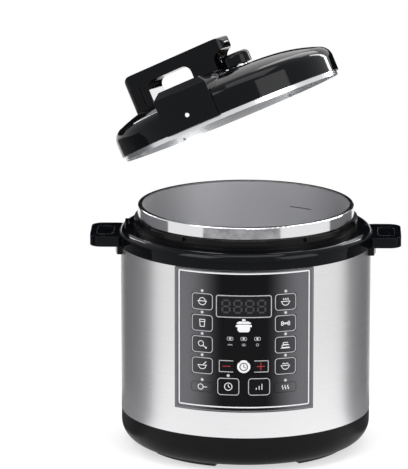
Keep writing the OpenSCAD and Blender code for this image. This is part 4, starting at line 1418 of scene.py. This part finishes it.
@dataclass
class Studio:
    """Camera, floor, lamps and surroundings.

    Attributes:
        aim: point at the middle of the picture.
        distance: from the aim to the camera, in metres.
        azimuth: camera's direction from the front, in degrees.
        elevation: camera's height above level, in degrees.
        lens: focal length, in mm on a 36 mm sensor.
        ambient: strength of the surrounding light on matt surfaces.
        lamp_aim: point that the lamps face.
        floor_half: half the floor's width, in metres.
        shaded: distance from the axis up to which shadow shows most on the floor, in metres.
        plain: distance from which the floor is plain white, in metres.
        shaded_share: share of plain white in the floor up to that first distance.
    """

    aim: Vector = field(default_factory=lambda: Vector((-0.0452, 0.0, 0.229)))
    distance: float = 4.8
    azimuth: float = 1.35
    elevation: float = 13.42
    lens: float = 340.8
    ambient: float = 0.55
    lamp_aim: Vector = field(default_factory=lambda: Vector((0.0, 0.0, 0.2)))
    floor_half: float = 14.0
    shaded: float = 0.2
    plain: float = 0.75
    shaded_share: float = 0.6

    def camera(self) -> None:
        """Stand the camera."""
        data = bpy.data.cameras.new("camera")
        data.lens = self.lens
        data.sensor_width = 36.0
        data.clip_start, data.clip_end = 0.1, 50.0
        obj = bpy.data.objects.new("camera", data)
        stand(obj, self.azimuth, self.elevation, self.distance, self.aim)
        bpy.context.scene.camera = obj

    def seen(self, tree: Tree) -> Socket:
        """Tell what is seen directly, mirrored or through something.

        Args:
            tree: nodes of the world or a staged material.

        Returns:
            One where it is seen so, zero where it only lights.
        """
        path = add_node(tree, "ShaderNodeLightPath")
        straight = add_node(tree, "ShaderNodeMath", {
            0: path.outputs["Is Camera Ray"], 1: path.outputs["Is Glossy Ray"]},
            operation="MAXIMUM")
        either = add_node(tree, "ShaderNodeMath", {
            0: straight.outputs["Value"], 1: path.outputs["Is Transmission Ray"]},
            operation="MAXIMUM")
        return either.outputs["Value"]

    def surroundings(self) -> None:
        """Light the scene from all round; what is seen or mirrored is plain white."""
        world = bpy.data.worlds.new("studio")
        bpy.context.scene.world = world
        world.use_nodes = True
        tree = world.node_tree
        tree.nodes.clear()
        strength = add_node(tree, "ShaderNodeMapRange", {
            "Value": self.seen(tree), "To Min": self.ambient, "To Max": 1.0})
        light = add_node(tree, "ShaderNodeBackground", {
            "Color": WHITE, "Strength": strength.outputs["Result"]})
        add_node(tree, "ShaderNodeOutputWorld", {"Surface": light.outputs["Background"]})

    def floor(self) -> None:
        """Lay a wide matt white floor."""
        bm = bmesh.new()
        bmesh.ops.create_grid(bm, x_segments=2, y_segments=2, size=self.floor_half)
        mesh = bpy.data.meshes.new("floor")
        bm.to_mesh(mesh)
        bm.free()
        obj = bpy.data.objects.new("floor", mesh)
        bpy.context.scene.collection.objects.link(obj)
        mesh.materials.append(self.paper())

    def paper(self) -> bpy.types.Material:
        """Make the floor's matt white paper: it keeps the shadow near the cooker.

        Returns:
            The material.
        """
        material = bpy.data.materials.new("matt_white_paper")
        material.use_nodes = True
        tree = material.node_tree
        shader = tree.nodes["Principled BSDF"]
        shader.inputs["Base Color"].default_value = linear("#f4f4f5")
        shader.inputs["Roughness"].default_value = 0.9
        shader.inputs["Specular IOR Level"].default_value = 0.1
        glow = add_node(tree, "ShaderNodeEmission", {"Color": WHITE, "Strength": 1.0})
        place = add_node(tree, "ShaderNodeTexCoord").outputs["Object"]
        away = add_node(tree, "ShaderNodeVectorMath", {0: place}, operation="LENGTH")
        fade = add_node(tree, "ShaderNodeMapRange", {
            "Value": away.outputs["Value"], "From Min": self.shaded, "From Max": self.plain,
            "To Min": self.shaded_share, "To Max": 1.0}, interpolation_type="SMOOTHSTEP")
        share = add_node(tree, "ShaderNodeMath", {
            0: self.seen(tree), 1: fade.outputs["Result"]}, operation="MULTIPLY")
        both = add_node(tree, "ShaderNodeMixShader", {
            "Fac": share.outputs["Value"], 1: shader.outputs["BSDF"],
            2: glow.outputs["Emission"]})
        surface = tree.nodes["Material Output"].inputs["Surface"]
        tree.links.new(both.outputs["Shader"], surface)
        return material

    def lamps(self) -> None:
        """Stand the softboxes."""
        for lamp in (
            Softbox("key_softbox", -48, 42, 2.2, (1.1, 1.4), 26),
            Softbox("fill_softbox", 52, 30, 2.4, (1.4, 1.5), 26),
            Softbox("top_softbox", 10, 82, 1.9, (1.2, 1.2), 16),
            Softbox("back_softbox", 170, 40, 2.4, (1.4, 1.0), 16),
            Softbox("right_strip", 138, 24, 1.5, (0.14, 1.0), 7),
            Softbox("left_strip", -142, 20, 1.5, (0.1, 1.0), 5),
        ):
            lamp.place(self.lamp_aim)

    def cards(self) -> None:
        """Stand the cards.

        Those at the sides shade the steel, the front one greys the middle of the pot's band,
        and the black one at the back keeps the flat tops dark.
        """
        beside = [(0.145, 0.002), (0.3, 0.002), (0.3, 0.28)]
        for card in (DarkCard("left_card", -74, -130, beside),
                     DarkCard("right_card", 84, 133, beside),
                     DarkCard("front_card", -43, 36, [(1.1, 0.002), (1.4, 0.002)]),
                     DarkCard("back_card", 124, 236, [(0.55, 0.27), (0.55, 0.45)], BLACK_CARD)):
            card.place()

    def build(self) -> None:
        """Set the colour management and everything round the cooker."""
        bpy.context.scene.view_settings.view_transform = "Standard"
        self.surroundings()
        self.floor()
        self.lamps()
        self.cards()


def main() -> None:
    """Build and dress the cooker, then the studio."""
    logging.basicConfig(level=logging.INFO, format="%(message)s")
    studio = Studio()
    studio.camera()
    for part in (ShellAndBase(), PotsAndHeater(), PanelFace(), Electrics(), Lid()):
        part.dress()
        part.build()
        LOG.info("finished %s", type(part).__name__)
    studio.build()


if __name__ == "__main__":
    main()
